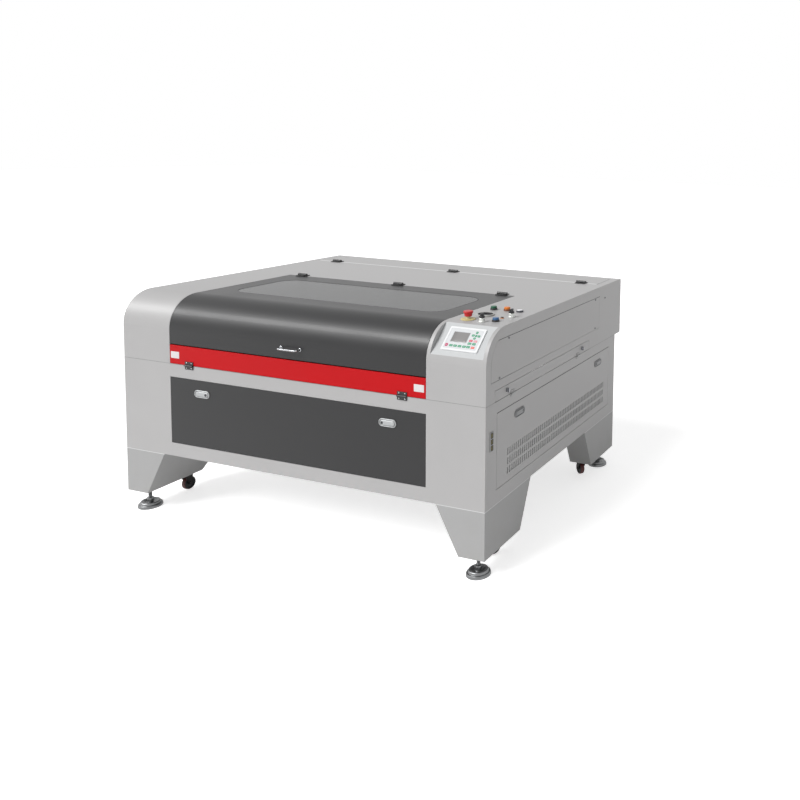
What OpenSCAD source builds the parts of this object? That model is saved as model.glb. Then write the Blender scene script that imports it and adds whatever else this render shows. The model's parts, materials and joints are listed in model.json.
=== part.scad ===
// Floor-standing laser engraving machine with a pass-through slot on all four sides.
// Millimetres, +Z up, the front faces -Y, the feet stand on Z = 0.

/* [Body] */
// Width over the two side walls
body_w = 1850; // [1700:10:2000]
// Depth of the upper housing
housing_d = 1370; // [1340:5:1420]
// How far the housing stands out behind the lower cabinet
rear_step = 70; // [60:5:80]
// Height of the top deck
top_z = 1003; // [990:1:1020]
// Height of the seam between cabinet and housing
seam_z = 710; // [706:1:714]
// Underside of the cabinet, where the legs start
cabinet_z = 290; // [270:1:300]
// Sheet metal thickness
sheet_t = 2; // [1.5:0.25:2.5]
// Radius of the curved front edge
front_r = 140; // [130:1:150]
// Width of the two front columns
column_w = 268; // [260:1:275]
// Depth of the folded returns round the openings
return_d = 25; // [18:1:30]
// Height of the lid and flap joint line
front_slot_z = 796; // [790:1:802]
// Gap round doors, flaps and lid
gap = 1.5; // [1:0.25:2]

/* [Legs] */
// Underside of the legs
leg_z = 90; // [88:1:94]
// Width of a front leg at the top
leg_top_w = 223; // [215:1:235]
// Width of a front leg at the bottom
leg_bottom_w = 118; // [116:1:130]
// Width of the rear legs, the same from top to bottom
rear_leg_w = 118; // [116:1:124]
// Depth of a leg at the top
leg_top_d = 371; // [355:1:390]
// Depth of a leg at the bottom
leg_bottom_d = 282; // [280:1:300]
// Thickness of the leg foot plate
foot_plate_t = 5; // [4:0.5:6]

/* [Levelling feet] */
// Distance of a foot from the side wall
foot_in_x = 61; // [60:1:64]
// Distance of a foot from the front or rear face
foot_in_y = 57; // [56:1:62]
// Radius of the foot pad
pad_r = 50; // [46:1:52]
// Height of the pad rim
pad_rim_h = 24; // [23:1:26]
// Height of the steep band round the pad
pad_base_h = 15; // [13:1:16]
// Depth of the dished middle below the rim
pad_dish_d = 8; // [7:1:9]
// Radius of the threaded stem
stem_r = 8; // [7:0.5:9]
// Height of the stem top
stem_top_z = 140; // [130:1:150]
// Radius over the corners of the stem nut
nut_r = 14; // [13:0.5:15]
// Thickness of the stem nut
nut_h = 12; // [10:1:14]
// Radial clearance between stem and leg
stem_gap = 0.5; // [0.4:0.1:0.8]

/* [Castors] */
// Distance of a castor from the side wall
caster_in_x = 76; // [74:1:78]
// Distance of a castor from the front or rear face
caster_in_y = 225; // [218:1:235]
// Side of the square castor plate
caster_plate_w = 60; // [56:1:62]
// Thickness of the castor plate
caster_plate_t = 3; // [2.5:0.5:3.5]
// Radius of the swivel race
race_r = 19; // [18:0.5:20]
// Height of the swivel race
race_h = 6; // [5:0.5:7]
// Radius of the swivel pin
swivel_r = 5; // [4.5:0.5:5.5]
// Radius of the swivel pin head
swivel_head_r = 9; // [8:0.5:10]
// Thickness of the swivel pin head
swivel_head_h = 3; // [2.5:0.5:3.5]
// Thickness of the fork crown
crown_t = 4; // [3.5:0.5:4.5]
// Wheel radius
wheel_r = 31; // [30:0.5:32]
// Wheel width
wheel_w = 24; // [22:1:24]
// Radius of the rounded tread edge
tread_r = 4; // [3:0.5:5]
// Distance of the wheel from the swivel axis
trail = 18; // [17:1:20]
// Gap between a wheel and the floor
wheel_lift = 5; // [4:0.5:6]
// Thickness of a fork cheek
cheek_t = 3; // [2.5:0.5:3.5]
// Width of a fork cheek at the axle
cheek_w = 18; // [16:1:20]
// Gap between wheel and fork cheek
cheek_gap = 2; // [1.5:0.5:2.5]
// Radius of the wheel axle
axle_r = 4; // [3.5:0.5:4.5]
// Radius of the axle nuts
axle_nut_r = 7; // [6.5:0.5:8]
// Thickness of the axle nuts
axle_nut_t = 3; // [2.5:0.5:3.5]
// Radial clearance of wheel and swivel bearings
bearing_gap = 0.3; // [0.3:0.05:0.4]
// Running clearance between the swivel race and the fork crown
race_gap = 0.02; // [0.02:0.01:0.05]
// Swivel angles of the castors: front right, front left, rear right, rear left
caster_angle = [150, 0, 50, 150]; // [-180:1:180]

/* [Front and side doors] */
// Height of the lower edge of the front door opening
door_z = 350; // [345:1:355]
// Height of the front door opening
door_h = 301; // [295:1:305]
// Thickness of doors and flaps
door_t = 3; // [2.5:0.5:3]
// Depth of the hidden door pivot behind the face
pivot_in = 9; // [9:0.5:11]
// Height of the hidden door pivot above the opening edge
pivot_up = 24; // [22:1:28]
// Radius of the door pivot pins
pivot_r = 3; // [2.5:0.5:3.5]
// Radial clearance of the door pivot pins
pivot_gap = 0.3; // [0.3:0.05:0.4]
// Start of the side door opening behind the front face
side_door_y = 83; // [80:1:90]
// Distance of the side door opening from the rear of the cabinet
side_door_rear = 83; // [77:1:97]
// Height of the lower edge of the side door opening
side_door_z = 347; // [340:1:352]
// Height of the side door opening
side_door_h = 316; // [310:1:320]

/* [Vent slots] */
// Start of the slot rows behind the front face
vent_y = 165; // [160:1:180]
// Least distance of the last slot from the rear end of the door opening
vent_rear = 54; // [40:1:70]
// Distance between two slots
vent_pitch = 17.8; // [17:0.1:18]
// Width of a slot
vent_w = 9; // [7:0.5:10]
// Height of a slot
vent_h = 28; // [24:1:30]
// Height of the lowest row
vent_z = 382; // [380:1:392]
// Distance between the rows
vent_row = 39.5; // [38:0.5:42]
// Number of rows
vent_rows = 3; // [2:1:3]

/* [Latches] */
// Length of a latch case
latch_l = 84; // [80:1:88]
// Height of a latch case
latch_h = 37; // [35:1:38]
// How far a latch case stands proud
latch_out = 4; // [3:0.5:5]
// Depth of the latch case behind the door face
latch_in = 18; // [16:1:20]
// Wall of the latch case
latch_wall = 4; // [3:0.5:4.5]
// Gap round the latch paddle
paddle_gap = 0.6; // [0.5:0.1:0.8]
// Thickness of the latch paddle
paddle_t = 5; // [4:0.5:6]
// Radius of the lock cylinder in the paddle
lock_r = 5; // [4.5:0.5:6]
// Distance of the lock cylinder from the paddle middle
lock_x = 24; // [20:1:25]
// Distance of the paddle pivot pin from the paddle middle
paddle_pin_x = 20; // [17:0.5:20.5]
// Radius of the paddle pivot pin
paddle_pin_r = 2; // [1.8:0.1:2.2]
// Distance of the front latches from the ends of the door opening
front_latch_in = 179; // [167:1:187]
// Distance of the front latches below the opening edge
front_latch_down = 60; // [54:1:66]
// Distance of the side latches below the opening edge
side_latch_down = 52; // [46:1:58]
// Distance of the front one of the side latches from the front end of the opening
side_latch_front = 181; // [120:1:197]
// Distance of the rear one of the side latches from the rear end of the opening
side_latch_rear = 142; // [117:1:157]

/* [Hinges] */
// Radial clearance between hinge knuckles and the face behind them
hinge_gap = 0.4; // [0.4:0.05:0.5]
// Radial clearance between hinge pins and knuckles
pin_gap = 0.3; // [0.3:0.05:0.35]
// Length of a front flap hinge
flap_hinge_l = 46; // [42:1:50]
// Width of a front flap hinge leaf
flap_leaf_w = 17; // [15:0.5:18]
// Knuckle radius of the small hinges
flap_knuckle_r = 4; // [3.5:0.5:4.5]
// Thickness of the small hinge leaves
flap_leaf_t = 2.5; // [2:0.5:3]
// Distance of the flap hinges from the ends of the opening
flap_hinge_in = 110; // [97:1:127]
// Length of a lid hinge
lid_hinge_l = 51; // [47:1:56]
// Width of a lid or rear cover hinge leaf
lid_leaf_w = 22; // [20:1:26]
// Knuckle radius of the lid and rear cover hinges
lid_knuckle_r = 6.5; // [6:0.5:7]
// Thickness of the lid and rear cover hinge leaves
lid_leaf_t = 4; // [3:0.5:5]
// Distance of the outer lid hinges from the ends of the lid opening
lid_hinge_in = 74; // [64:1:97]
// Shift of the lid hinges towards the right
lid_hinge_shift = 5; // [0:1:10]
// Length of a rear cover hinge
cover_hinge_l = 54; // [50:1:60]
// Distance of the outer rear cover hinges from the cover ends
cover_hinge_in = 107; // [95:1:115]
// Shift of the rear cover hinges towards the right
cover_hinge_shift = 17; // [0:1:20]
// Length of a side flap hinge
side_hinge_l = 30; // [26:1:34]
// Width of a side flap hinge leaf
side_leaf_w = 13; // [12:0.5:15]
// Positions of the side flap hinges behind the front face
side_hinge_y = [203, 831]; // [180:1:850]

/* [Lid] */
// Length of the lid from the front to its hinges
lid_d = 695; // [680:1:710]
// Thickness of the lid shell
lid_t = 2.5; // [2:0.25:3]
// Gap between the lid and the flap below it
lid_flap_gap = 4; // [3:0.5:5]
// Width of the window opening
window_w = 1121; // [1090:1:1130]
// Depth of the window opening
window_d = 360; // [340:1:370]
// Distance of the window opening from the front
window_y = 228; // [215:1:240]
// Corner radius of the window opening
window_r = 80; // [60:1:90]
// Rim by which the pane overlaps the shell
pane_rim = 15; // [12:1:20]
// Thickness of the window pane rim
pane_t = 4; // [3:0.5:5]
// Distance between the handle posts
handle_w = 96; // [90:1:104]
// Height of the handle
handle_z = 845; // [840:1:850]
// Radius of the handle bar
handle_r = 4.5; // [4:0.5:5]
// Distance of the bar middle from the lid
handle_out = 26; // [22:1:30]
// Radius of the handle foot
handle_foot_r = 8; // [7:0.5:9]
// Thickness of the handle foot
handle_foot_t = 3; // [2:0.5:4]

/* [Pass-through flaps] */
// Start of the side slots behind the front face
side_slot_y = 66; // [64:1:70]
// Length of the side slots
side_slot_l = 896; // [880:1:910]
// Height of the side and rear slots
side_slot_h = 47; // [45:1:49]
// Folded top edge of the front flap
flap_fold = 12; // [8:1:14]
// Positions of the turn knobs behind the front face
knob_y = [159, 875]; // [140:1:900]
// Height of the turn knobs above the slot edge
knob_up = 25; // [24:0.5:26]
// Radius of a turn knob
knob_r = 9; // [8:0.5:10]
// How far a knob stands proud
knob_out = 12; // [10:1:14]
// Width of the grip bar on the knob
knob_grip_w = 5; // [4:0.5:6]
// Thickness of the knob disc under the grip
knob_disc_t = 5; // [4:0.5:6]
// Radius of the knob shaft
knob_shaft_r = 4; // [3.5:0.5:4.5]
// Length of the latch cam behind a flap
cam_l = 16; // [14:0.5:17]
// Thickness of the latch cam
cam_t = 3; // [2:0.5:3.5]
// Radial clearance of the knob shaft
shaft_gap = 0.3; // [0.3:0.05:0.4]

/* [Rear cover] */
// Distance of the rear cover from the rear wall
cover_rear = 44; // [40:1:50]
// Depth of the rear cover
cover_d = 173; // [165:1:180]
// Distance of the cover ends from the side walls
cover_in = 46; // [42:1:60]
// Width of the ledge below the cover edge
ledge_w = 15; // [12:1:18]
// Distance of the tube compartment front wall before the cover
wall_front = 13; // [10:1:14]
// Height of the tube compartment floor
tray_z = 860; // [850:1:870]
// Lower edge of the tube compartment front wall
tray_wall_z = 762; // [760:1:764]

/* [Access panels] */
// Distance of the side access panel from the front outline
panel_in = 36; // [34:1:40]
// Distance of the side access panel from the tube compartment
panel_rear = 55; // [50:1:70]
// Lower edge of the side access panel
panel_z = 792; // [790:1:800]
// Upper edge of the side access panel
panel_top_z = 956; // [950:1:960]
// Width of the frame behind the access panel
panel_frame_w = 14; // [12:1:16]
// Radius of the panel screw heads
screw_r = 4.5; // [4:0.5:5]
// Height of the panel screw heads
screw_h = 2; // [1.5:0.5:2.5]
// Inset of the screws from the panel edge
screw_in = 9; // [8:0.5:10]

/* [Control corner] */
// Height of the recess edge above the start of the curve
recess_up = 32; // [28:1:36]
// Depth at which the recess meets the top of the curve
recess_y = 113; // [106:1:118]
// Width of the rims left and right of the recess
recess_rim = 16; // [14:1:20]
// Width of the display panel
display_w = 162; // [155:1:170]
// Height of the display panel along the slope
display_h = 108; // [100:1:112]
// Thickness of the display panel
display_t = 5; // [4:0.5:6]
// Distance of the display panel from the lower recess edge
display_up = 24; // [22:1:26]
// Distance of the display panel middle from the side wall
display_in = 136; // [134:1:142]
// Width of the raised display frame
display_rim = 8; // [6:0.5:10]
// Depth of the display face below its frame
display_sink = 0.8; // [0.6:0.1:1]
// Screen width
screen_w = 70; // [66:1:74]
// Screen height
screen_h = 46; // [42:1:50]
// Screen middle right of the display middle
screen_x = -19; // [-22:1:-16]
// Screen middle above the display middle
screen_y = 7; // [4:1:10]
// Corner radius of the display panel
display_r = 4; // [3:0.5:5]

/* [Push buttons and switches] */
// Emergency stop: distance from the side wall
estop_x = 192; // [185:1:200]
// Emergency stop: distance from the front
estop_y = 176; // [165:1:185]
// Emergency stop: head radius
estop_r = 20; // [18:0.5:21]
// Emergency stop: head height
estop_h = 22; // [20:1:26]
// Emergency stop: height of the head above the deck
estop_up = 14; // [12:1:16]
// Radius of the yellow collar
collar_r = 30; // [28:1:32]
// Thickness of the yellow collar
collar_h = 4; // [3:0.5:5]
// Radius of the threaded bodies that pass through the deck
control_r = 11; // [10:0.5:11.5]
// How far the threaded bodies reach below the deck
control_below = 20; // [16:1:24]
// Green button: distance from the side wall
green_x = 197; // [185:1:200]
// Green button: distance from the front
green_y = 384; // [370:1:390]
// Orange button: distance from the side wall
orange_x = 135; // [125:1:140]
// Orange button: distance from the front
orange_y = 390; // [370:1:390]
// White button: distance from the side wall
white_x = 74; // [55:1:80]
// White button: distance from the front
white_y = 390; // [370:1:390]
// Blue button: distance from the side wall
blue_x = 72; // [60:1:74]
// Blue button: distance from the front
blue_y = 188; // [175:1:190]
// Height of the green, orange and blue caps above the deck
cap_h = 17; // [14:0.5:18]
// Height of the white cap above the deck
flat_cap_h = 10; // [9:0.5:11]
// Radius of a button cap
cap_r = 13; // [12:0.5:14]
// Travel of a button cap
cap_travel = 3; // [2:0.5:3.5]
// Radius of a button bezel
bezel_r = 15.5; // [15:0.5:17]
// Height of a button bezel
bezel_h = 8; // [7:0.5:8.5]
// Thickness of the bezel floor
bezel_floor = 1; // [0.5:0.25:1.25]
// Front selector switch: distance from the side wall
key_front_x = 116; // [110:1:122]
// Front selector switch: distance from the front
key_front_y = 156; // [145:1:165]
// Rear selector switch: distance from the side wall
key_rear_x = 53; // [45:1:58]
// Rear selector switch: distance from the front
key_rear_y = 282; // [275:1:295]
// Radius of a selector base
key_base_r = 13; // [12:0.5:14]
// Height of a selector base
key_base_h = 18; // [14:1:19]
// Radius of a selector knob
key_r = 12; // [11:0.5:12.5]
// Height of a selector knob
key_h = 18; // [16:1:22]
// Radius of a selector shaft
key_shaft_r = 5; // [4.5:0.5:5.5]
// Width of the grip on a selector knob
key_grip_w = 8; // [7:0.5:9]
// Height of the disc under the selector grip
key_disc_h = 6; // [5:0.5:7]
// Indicator lamp: distance from the side wall
lamp_x = 78; // [72:1:84]
// Indicator lamp: distance from the front
lamp_y = 249; // [240:1:256]
// Radius of the indicator lamp
lamp_r = 8; // [6:0.5:9]
// Height of the indicator lamp
lamp_h = 6; // [5:0.5:8]
// Panel meter: distance from the side wall
meter_x = 170; // [160:1:175]
// Panel meter: distance from the front
meter_y = 272; // [262:1:285]
// Radius of the panel meter
meter_r = 36; // [34:1:38]
// Height of the panel meter
meter_h = 7; // [6:0.5:8]
// Width of the panel meter rim
meter_rim = 5; // [4:0.5:6]
// Depth of the meter face below the rim
meter_sink = 5; // [3:0.5:5]
// Radius of the meter housing below the deck
meter_body_r = 30; // [28:0.5:32]
// Radial clearance of buttons, shafts and bodies
button_gap = 0.3; // [0.3:0.05:0.4]

/* [Port strip] */
// Height of the lower end of the port strip
port_z = 522; // [515:1:530]
// Length of the port strip
port_h = 76; // [70:1:80]
// Width of the port strip
port_w = 25; // [22:1:28]
// Distance of the port strip from the front face
port_y = 30; // [28:1:34]
// Thickness of the port strip
port_t = 3; // [2:0.5:4]
// Width of a socket
socket_w = 15; // [13:1:17]
// Height of a socket
socket_h = 13; // [11:1:14]
// Number of sockets
socket_n = 3; // [2:1:3]

/* [Motion system] */
// Width of the worktable
table_w = 1300; // [1260:10:1300]
// Depth of the worktable
table_d = 900; // [880:10:900]
// Distance of the worktable from the front face
table_y = 60; // [58:1:64]
// Thickness of the worktable
table_t = 35; // [30:1:38]
// Distance of the table top below the slots
table_below = 10; // [8:1:14]
// Width of the worktable frame
table_rim = 30; // [26:1:34]
// Depth of the honeycomb below the table frame top
comb_sink = 2; // [1:0.5:3]
// Thickness of the honeycomb
comb_t = 20; // [16:1:22]
// Radius of the lift screws
lift_r = 8; // [7:0.5:9]
// Distance of the lift screws from the table side
lift_out = 22; // [21:1:24]
// Distances of the lift screws from the table ends
lift_in = 60; // [55:1:70]
// Side of the lift lugs
lug_w = 44; // [42:1:46]
// Thickness of the lift lugs
lug_t = 22; // [20:1:24]
// Radial clearance of the lift screws
lift_gap = 0.4; // [0.3:0.05:0.5]
// Radius of the lift screw flange
lift_flange_r = 22; // [20:1:24]
// Thickness of the lift screw flange
lift_flange_t = 12; // [10:1:14]
// Distance of the rail beams from the middle
rail_x = 720; // [715:1:725]
// Width of the rail beams
beam_w = 40; // [36:1:44]
// Height of the rail beams
beam_h = 35; // [30:1:38]
// Underside of the rail beams
beam_z = 765; // [764:1:768]
// Width of a linear rail
rail_w = 20; // [18:1:22]
// Height of a linear rail
rail_h = 12; // [10:1:14]
// Clearance between carriage and rail
rail_gap = 0.3; // [0.3:0.05:0.4]
// Length of the carriages
carriage_l = 60; // [56:1:70]
// Height of the carriages
carriage_h = 28; // [26:1:30]
// Width of the carriages
carriage_w = 36; // [34:1:38]
// Length of the gantry beam
gantry_l = 1490; // [1480:1:1500]
// Depth of the gantry beam
gantry_d = 50; // [46:1:54]
// Height of the gantry beam
gantry_h = 50; // [46:1:54]
// Rest position of the gantry behind the front face
gantry_y = 920; // [910:1:930]
// Depth of the head rail on the gantry
head_rail_d = 10; // [8:1:12]
// Height of the head rail on the gantry
head_rail_h = 14; // [12:1:16]
// Width of the laser head carriage
head_w = 60; // [56:1:66]
// Height of the laser head carriage
head_h = 42; // [40:1:46]
// Depth of the laser head carriage
head_d = 34; // [32:1:36]
// Radius of the lens tube
lens_r = 12; // [11:0.5:13]
// Lower end of the lens tube
lens_z = 770; // [766:1:774]
// Radius of the nozzle tip
nozzle_r = 4; // [3:0.5:5]
// Lower end of the nozzle
nozzle_z = 745; // [742:1:750]
// Side of the last mirror block
mirror_w = 34; // [30:1:36]

/* [Laser tube and exhaust] */
// Radius of the laser tube
tube_r = 40; // [36:1:40]
// Length of the laser tube
tube_l = 1500; // [1400:10:1560]
// Height of the laser tube axis
tube_z = 935; // [930:1:940]
// Distance of the laser tube behind the compartment wall
tube_back = 110; // [105:1:118]
// Length of the metal ends of the tube
tube_end_l = 60; // [50:1:70]
// Radius of the metal ends of the tube
tube_end_r = 30; // [26:1:32]
// Distance between the tube saddles
saddle_pitch = 1000; // [900:10:1100]
// Width of a tube saddle
saddle_w = 30; // [26:1:36]
// Depth of a tube saddle
saddle_d = 100; // [90:1:110]
// Height of the saddle horns beside the tube
saddle_horn = 30; // [26:1:34]
// Clearance between saddle and tube
saddle_gap = 0.3; // [0.2:0.05:0.4]
// Outer radius of the exhaust collars
exhaust_r = 75; // [70:1:80]
// Length of the exhaust collars
exhaust_l = 50; // [45:1:55]
// Distance of the exhaust collars from the middle
exhaust_x = 450; // [420:5:480]
// Height of the exhaust collars
exhaust_z = 480; // [460:5:500]

/* [Hidden] */
$fn = 64;
over = 1;
half_w = body_w / 2;
open_x = half_w - column_w;
cabinet_d = housing_d - rear_step;
hinge_out = flap_knuckle_r + hinge_gap;
handle_reach = handle_out + handle_r;
rear_reach = hinge_out + flap_knuckle_r;
front_y = (handle_reach - rear_reach - housing_d) / 2;
arc_z = top_z - front_r;
rear_slot_z = seam_z + sheet_t;
slot_top_z = seam_z + side_slot_h;
lid_z = front_slot_z + lid_flap_gap;
table_z = seam_z - table_below - table_t;
rail_z = beam_z + beam_h;
gantry_z = rail_z + carriage_h + 2;
recess_z = arc_z + recess_up;
recess_low_y = front_r - sqrt(front_r * front_r - recess_up * recess_up);
recess_high_z = arc_z + sqrt(front_r * front_r - pow(front_r - recess_y, 2));
recess_a = atan2(recess_high_z - recess_z, recess_y - recess_low_y);
recess_x0 = open_x + recess_rim;
recess_x1 = half_w - recess_rim;
swivel_z = leg_z - caster_plate_t - race_h;
axle_z = wheel_lift + wheel_r;
cheek_x = wheel_w / 2 + cheek_gap;
cover_x = half_w - cover_in;
cover_end_y = housing_d - cover_rear;
cover_y = cover_end_y - cover_d;
wall_y = cover_y - wall_front;
panel_end_y = wall_y - panel_rear;
side_door_l = cabinet_d - side_door_y - side_door_rear;
vent_n = floor((side_door_y + side_door_l - vent_rear - vent_y) / vent_pitch);
front_latch_x = open_x - front_latch_in;
side_latch_front_y = side_door_y + side_latch_front;
side_latch_rear_y = side_door_y + side_door_l - side_latch_rear;
flap_hinge_x = open_x - flap_hinge_in;
lid_hinge_pitch = open_x - lid_hinge_in;
cover_hinge_pitch = cover_x - cover_hinge_in;

// Everything is drawn from the front face; this puts it in the part's own frame
module at_front() {
  translate([0, front_y, 0])
    children();
}

// A shape drawn in the Y-Z plane, drawn out along X
module along_x(x0, x1) {
  translate([x0, 0, 0])
    rotate([90, 0, 90])
      linear_extrude(height = x1 - x0)
        children();
}

module box(x0, x1, y0, y1, z0, z1) {
  translate([x0, y0, z0])
    cube([x1 - x0, y1 - y0, z1 - z0]);
}

module rod_x(x0, x1, y, z, r) {
  translate([x0, y, z])
    rotate([0, 90, 0])
      cylinder(h = x1 - x0, r = r);
}

module rod_y(y0, y1, x, z, r) {
  translate([x, y0, z])
    rotate([-90, 0, 0])
      cylinder(h = y1 - y0, r = r);
}

module rod_z(z0, z1, x, y, r) {
  translate([x, y, z0])
    cylinder(h = z1 - z0, r = r);
}

module rounded_rect(w, h, r) {
  translate([-w / 2 + r, -h / 2])
    square([w - 2 * r, h]);
  translate([-w / 2, -h / 2 + r])
    square([w, h - 2 * r]);
  for (sx = [-1, 1], sy = [-1, 1])
    translate([sx * (w / 2 - r), sy * (h / 2 - r)])
      circle(r = r);
}

// Side outline of the housing, drawn in by the given amount
module housing_outline(inset) {
  difference() {
    translate([inset, seam_z])
      square([housing_d - 2 * inset, top_z - seam_z - inset]);
    difference() {
      translate([-over, arc_z])
        square([front_r + over, front_r + over]);
      translate([front_r, arc_z])
        circle(r = front_r - inset);
    }
  }
}

// Outline of the side access panel
module panel_outline(inset) {
  intersection() {
    housing_outline(panel_in + inset);
    translate([0, panel_z + inset])
      square([panel_end_y - inset, panel_top_z - panel_z - 2 * inset]);
  }
}

// Part of the outline in front of the slanted control recess, the slope moved inward by t
module recess_outline(t) {
  dy = t * sin(recess_a);
  dz = t * cos(recess_a);
  intersection() {
    housing_outline(0);
    polygon([
      [recess_low_y + dy, recess_z - dz],
      [recess_y + dy, recess_high_z - dz],
      [recess_y + dy, top_z + over],
      [-over, top_z + over],
      [-over, recess_z - dz]
    ]);
  }
}

// Hinge leaf: axis along X at the origin, the face it lies on at y = knuckle_r + hinge_gap.
// side = 1 for the leaf above the axis, -1 below; outer = true for the two end knuckles and the pin.
module hinge_leaf(l, leaf_w, leaf_t, knuckle_r, side, outer) {
  face = knuckle_r + hinge_gap;
  third = l / 3;
  start = knuckle_r + hinge_gap;
  z0 = side > 0 ? start : -leaf_w;
  span = leaf_w - start;
  pin = knuckle_r * 0.45;
  translate([-l / 2, face - leaf_t, z0])
    cube([l, leaf_t, span]);
  if (outer) {
    for (s = [-1, 1]) {
      a = s > 0 ? third / 2 + hinge_gap : -l / 2;
      b = s > 0 ? l / 2 : -third / 2 - hinge_gap;
      rod_x(a, b, 0, 0, knuckle_r);
      box(a, b, face - leaf_t, face, side > 0 ? 0 : -start, side > 0 ? start : 0);
    }
    rod_x(-l / 2, l / 2, 0, 0, pin);
  } else {
    difference() {
      union() {
        rod_x(-third / 2, third / 2, 0, 0, knuckle_r);
        box(-third / 2, third / 2, face - leaf_t, face, side > 0 ? 0 : -start,
          side > 0 ? start : 0);
      }
      rod_x(-l / 2, l / 2, 0, 0, pin + pin_gap);
    }
  }
}

module lid_hinge(side, outer) {
  for (k = [-1, 0, 1])
    translate([k * lid_hinge_pitch + lid_hinge_shift, lid_d, top_z + lid_knuckle_r + hinge_gap])
      rotate([-90, 0, 0])
        hinge_leaf(lid_hinge_l, lid_leaf_w, lid_leaf_t, lid_knuckle_r, side, outer);
}

module cover_hinge(side, outer) {
  for (k = [-1, 0, 1])
    translate([k * cover_hinge_pitch + cover_hinge_shift, cover_y - gap / 2,
      top_z + lid_knuckle_r + hinge_gap])
      rotate([-90, 0, 0])
        hinge_leaf(cover_hinge_l, lid_leaf_w, lid_leaf_t, lid_knuckle_r, side, outer);
}

module front_flap_hinge(side, outer) {
  for (k = [-1, 1])
    translate([k * flap_hinge_x, -hinge_out, seam_z + gap / 2])
      hinge_leaf(flap_hinge_l, flap_leaf_w, flap_leaf_t, flap_knuckle_r, side, outer);
}

module rear_flap_hinge(side, outer) {
  for (k = [-1, 1])
    translate([k * flap_hinge_x, housing_d + hinge_out, slot_top_z - gap / 2])
      rotate([0, 0, 180])
        hinge_leaf(flap_hinge_l, flap_leaf_w, flap_leaf_t, flap_knuckle_r, side, outer);
}

module side_flap_hinge(right, side, outer) {
  for (y = side_hinge_y)
    translate([right * (half_w + hinge_out), y, seam_z + gap / 2])
      rotate([0, 0, right * 90])
        hinge_leaf(side_hinge_l, side_leaf_w, flap_leaf_t, flap_knuckle_r, side, outer);
}

// Welded sheet cabinet with door openings, folded returns and two exhaust collars
module lower_cabinet() {
  color("lightgray")
    at_front() {
      difference() {
        box(-half_w, half_w, 0, cabinet_d, cabinet_z, seam_z);
        box(-half_w + sheet_t, half_w - sheet_t, sheet_t, cabinet_d - sheet_t,
          cabinet_z + sheet_t, seam_z + over);
        box(-open_x, open_x, -over, sheet_t + over, door_z, door_z + door_h);
        box(half_w - sheet_t - over, half_w + over, side_door_y, side_door_y + side_door_l,
          side_door_z, side_door_z + side_door_h);
        for (k = [-1, 1])
          rod_y(cabinet_d - sheet_t - over, cabinet_d + over, k * exhaust_x, exhaust_z,
            exhaust_r - sheet_t);
      }
      for (k = [-1, 1]) {
        difference() {
          rod_y(cabinet_d - sheet_t, cabinet_d + exhaust_l, k * exhaust_x, exhaust_z, exhaust_r);
          rod_y(cabinet_d - sheet_t - over, cabinet_d + exhaust_l + over, k * exhaust_x,
            exhaust_z, exhaust_r - sheet_t);
        }
        difference() {
          translate([k * (open_x + sheet_t / 2), sheet_t / 2, 0])
            box(-sheet_t / 2, sheet_t / 2, 0, return_d, door_z, door_z + door_h);
          rod_x(-half_w, half_w, pivot_in, door_z + pivot_up, pivot_r + pivot_gap);
        }
      }
      for (y = [side_door_y - sheet_t, side_door_y + side_door_l])
        difference() {
          box(half_w - return_d, half_w - sheet_t / 2, y, y + sheet_t, side_door_z,
            side_door_z + side_door_h);
          rod_y(0, cabinet_d, half_w - pivot_in, side_door_z + pivot_up, pivot_r + pivot_gap);
        }
    }
}

// Holes in the deck for everything that is mounted through it
module deck_holes() {
  for (p = [[estop_x, estop_y], [green_x, green_y], [orange_x, orange_y], [white_x, white_y],
      [blue_x, blue_y], [key_front_x, key_front_y], [key_rear_x, key_rear_y]])
    translate([half_w - p[0], p[1], top_z])
      control_body(control_r, button_gap);
  translate([half_w - meter_x, meter_y, top_z])
    control_body(meter_body_r, button_gap);
}

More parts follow.
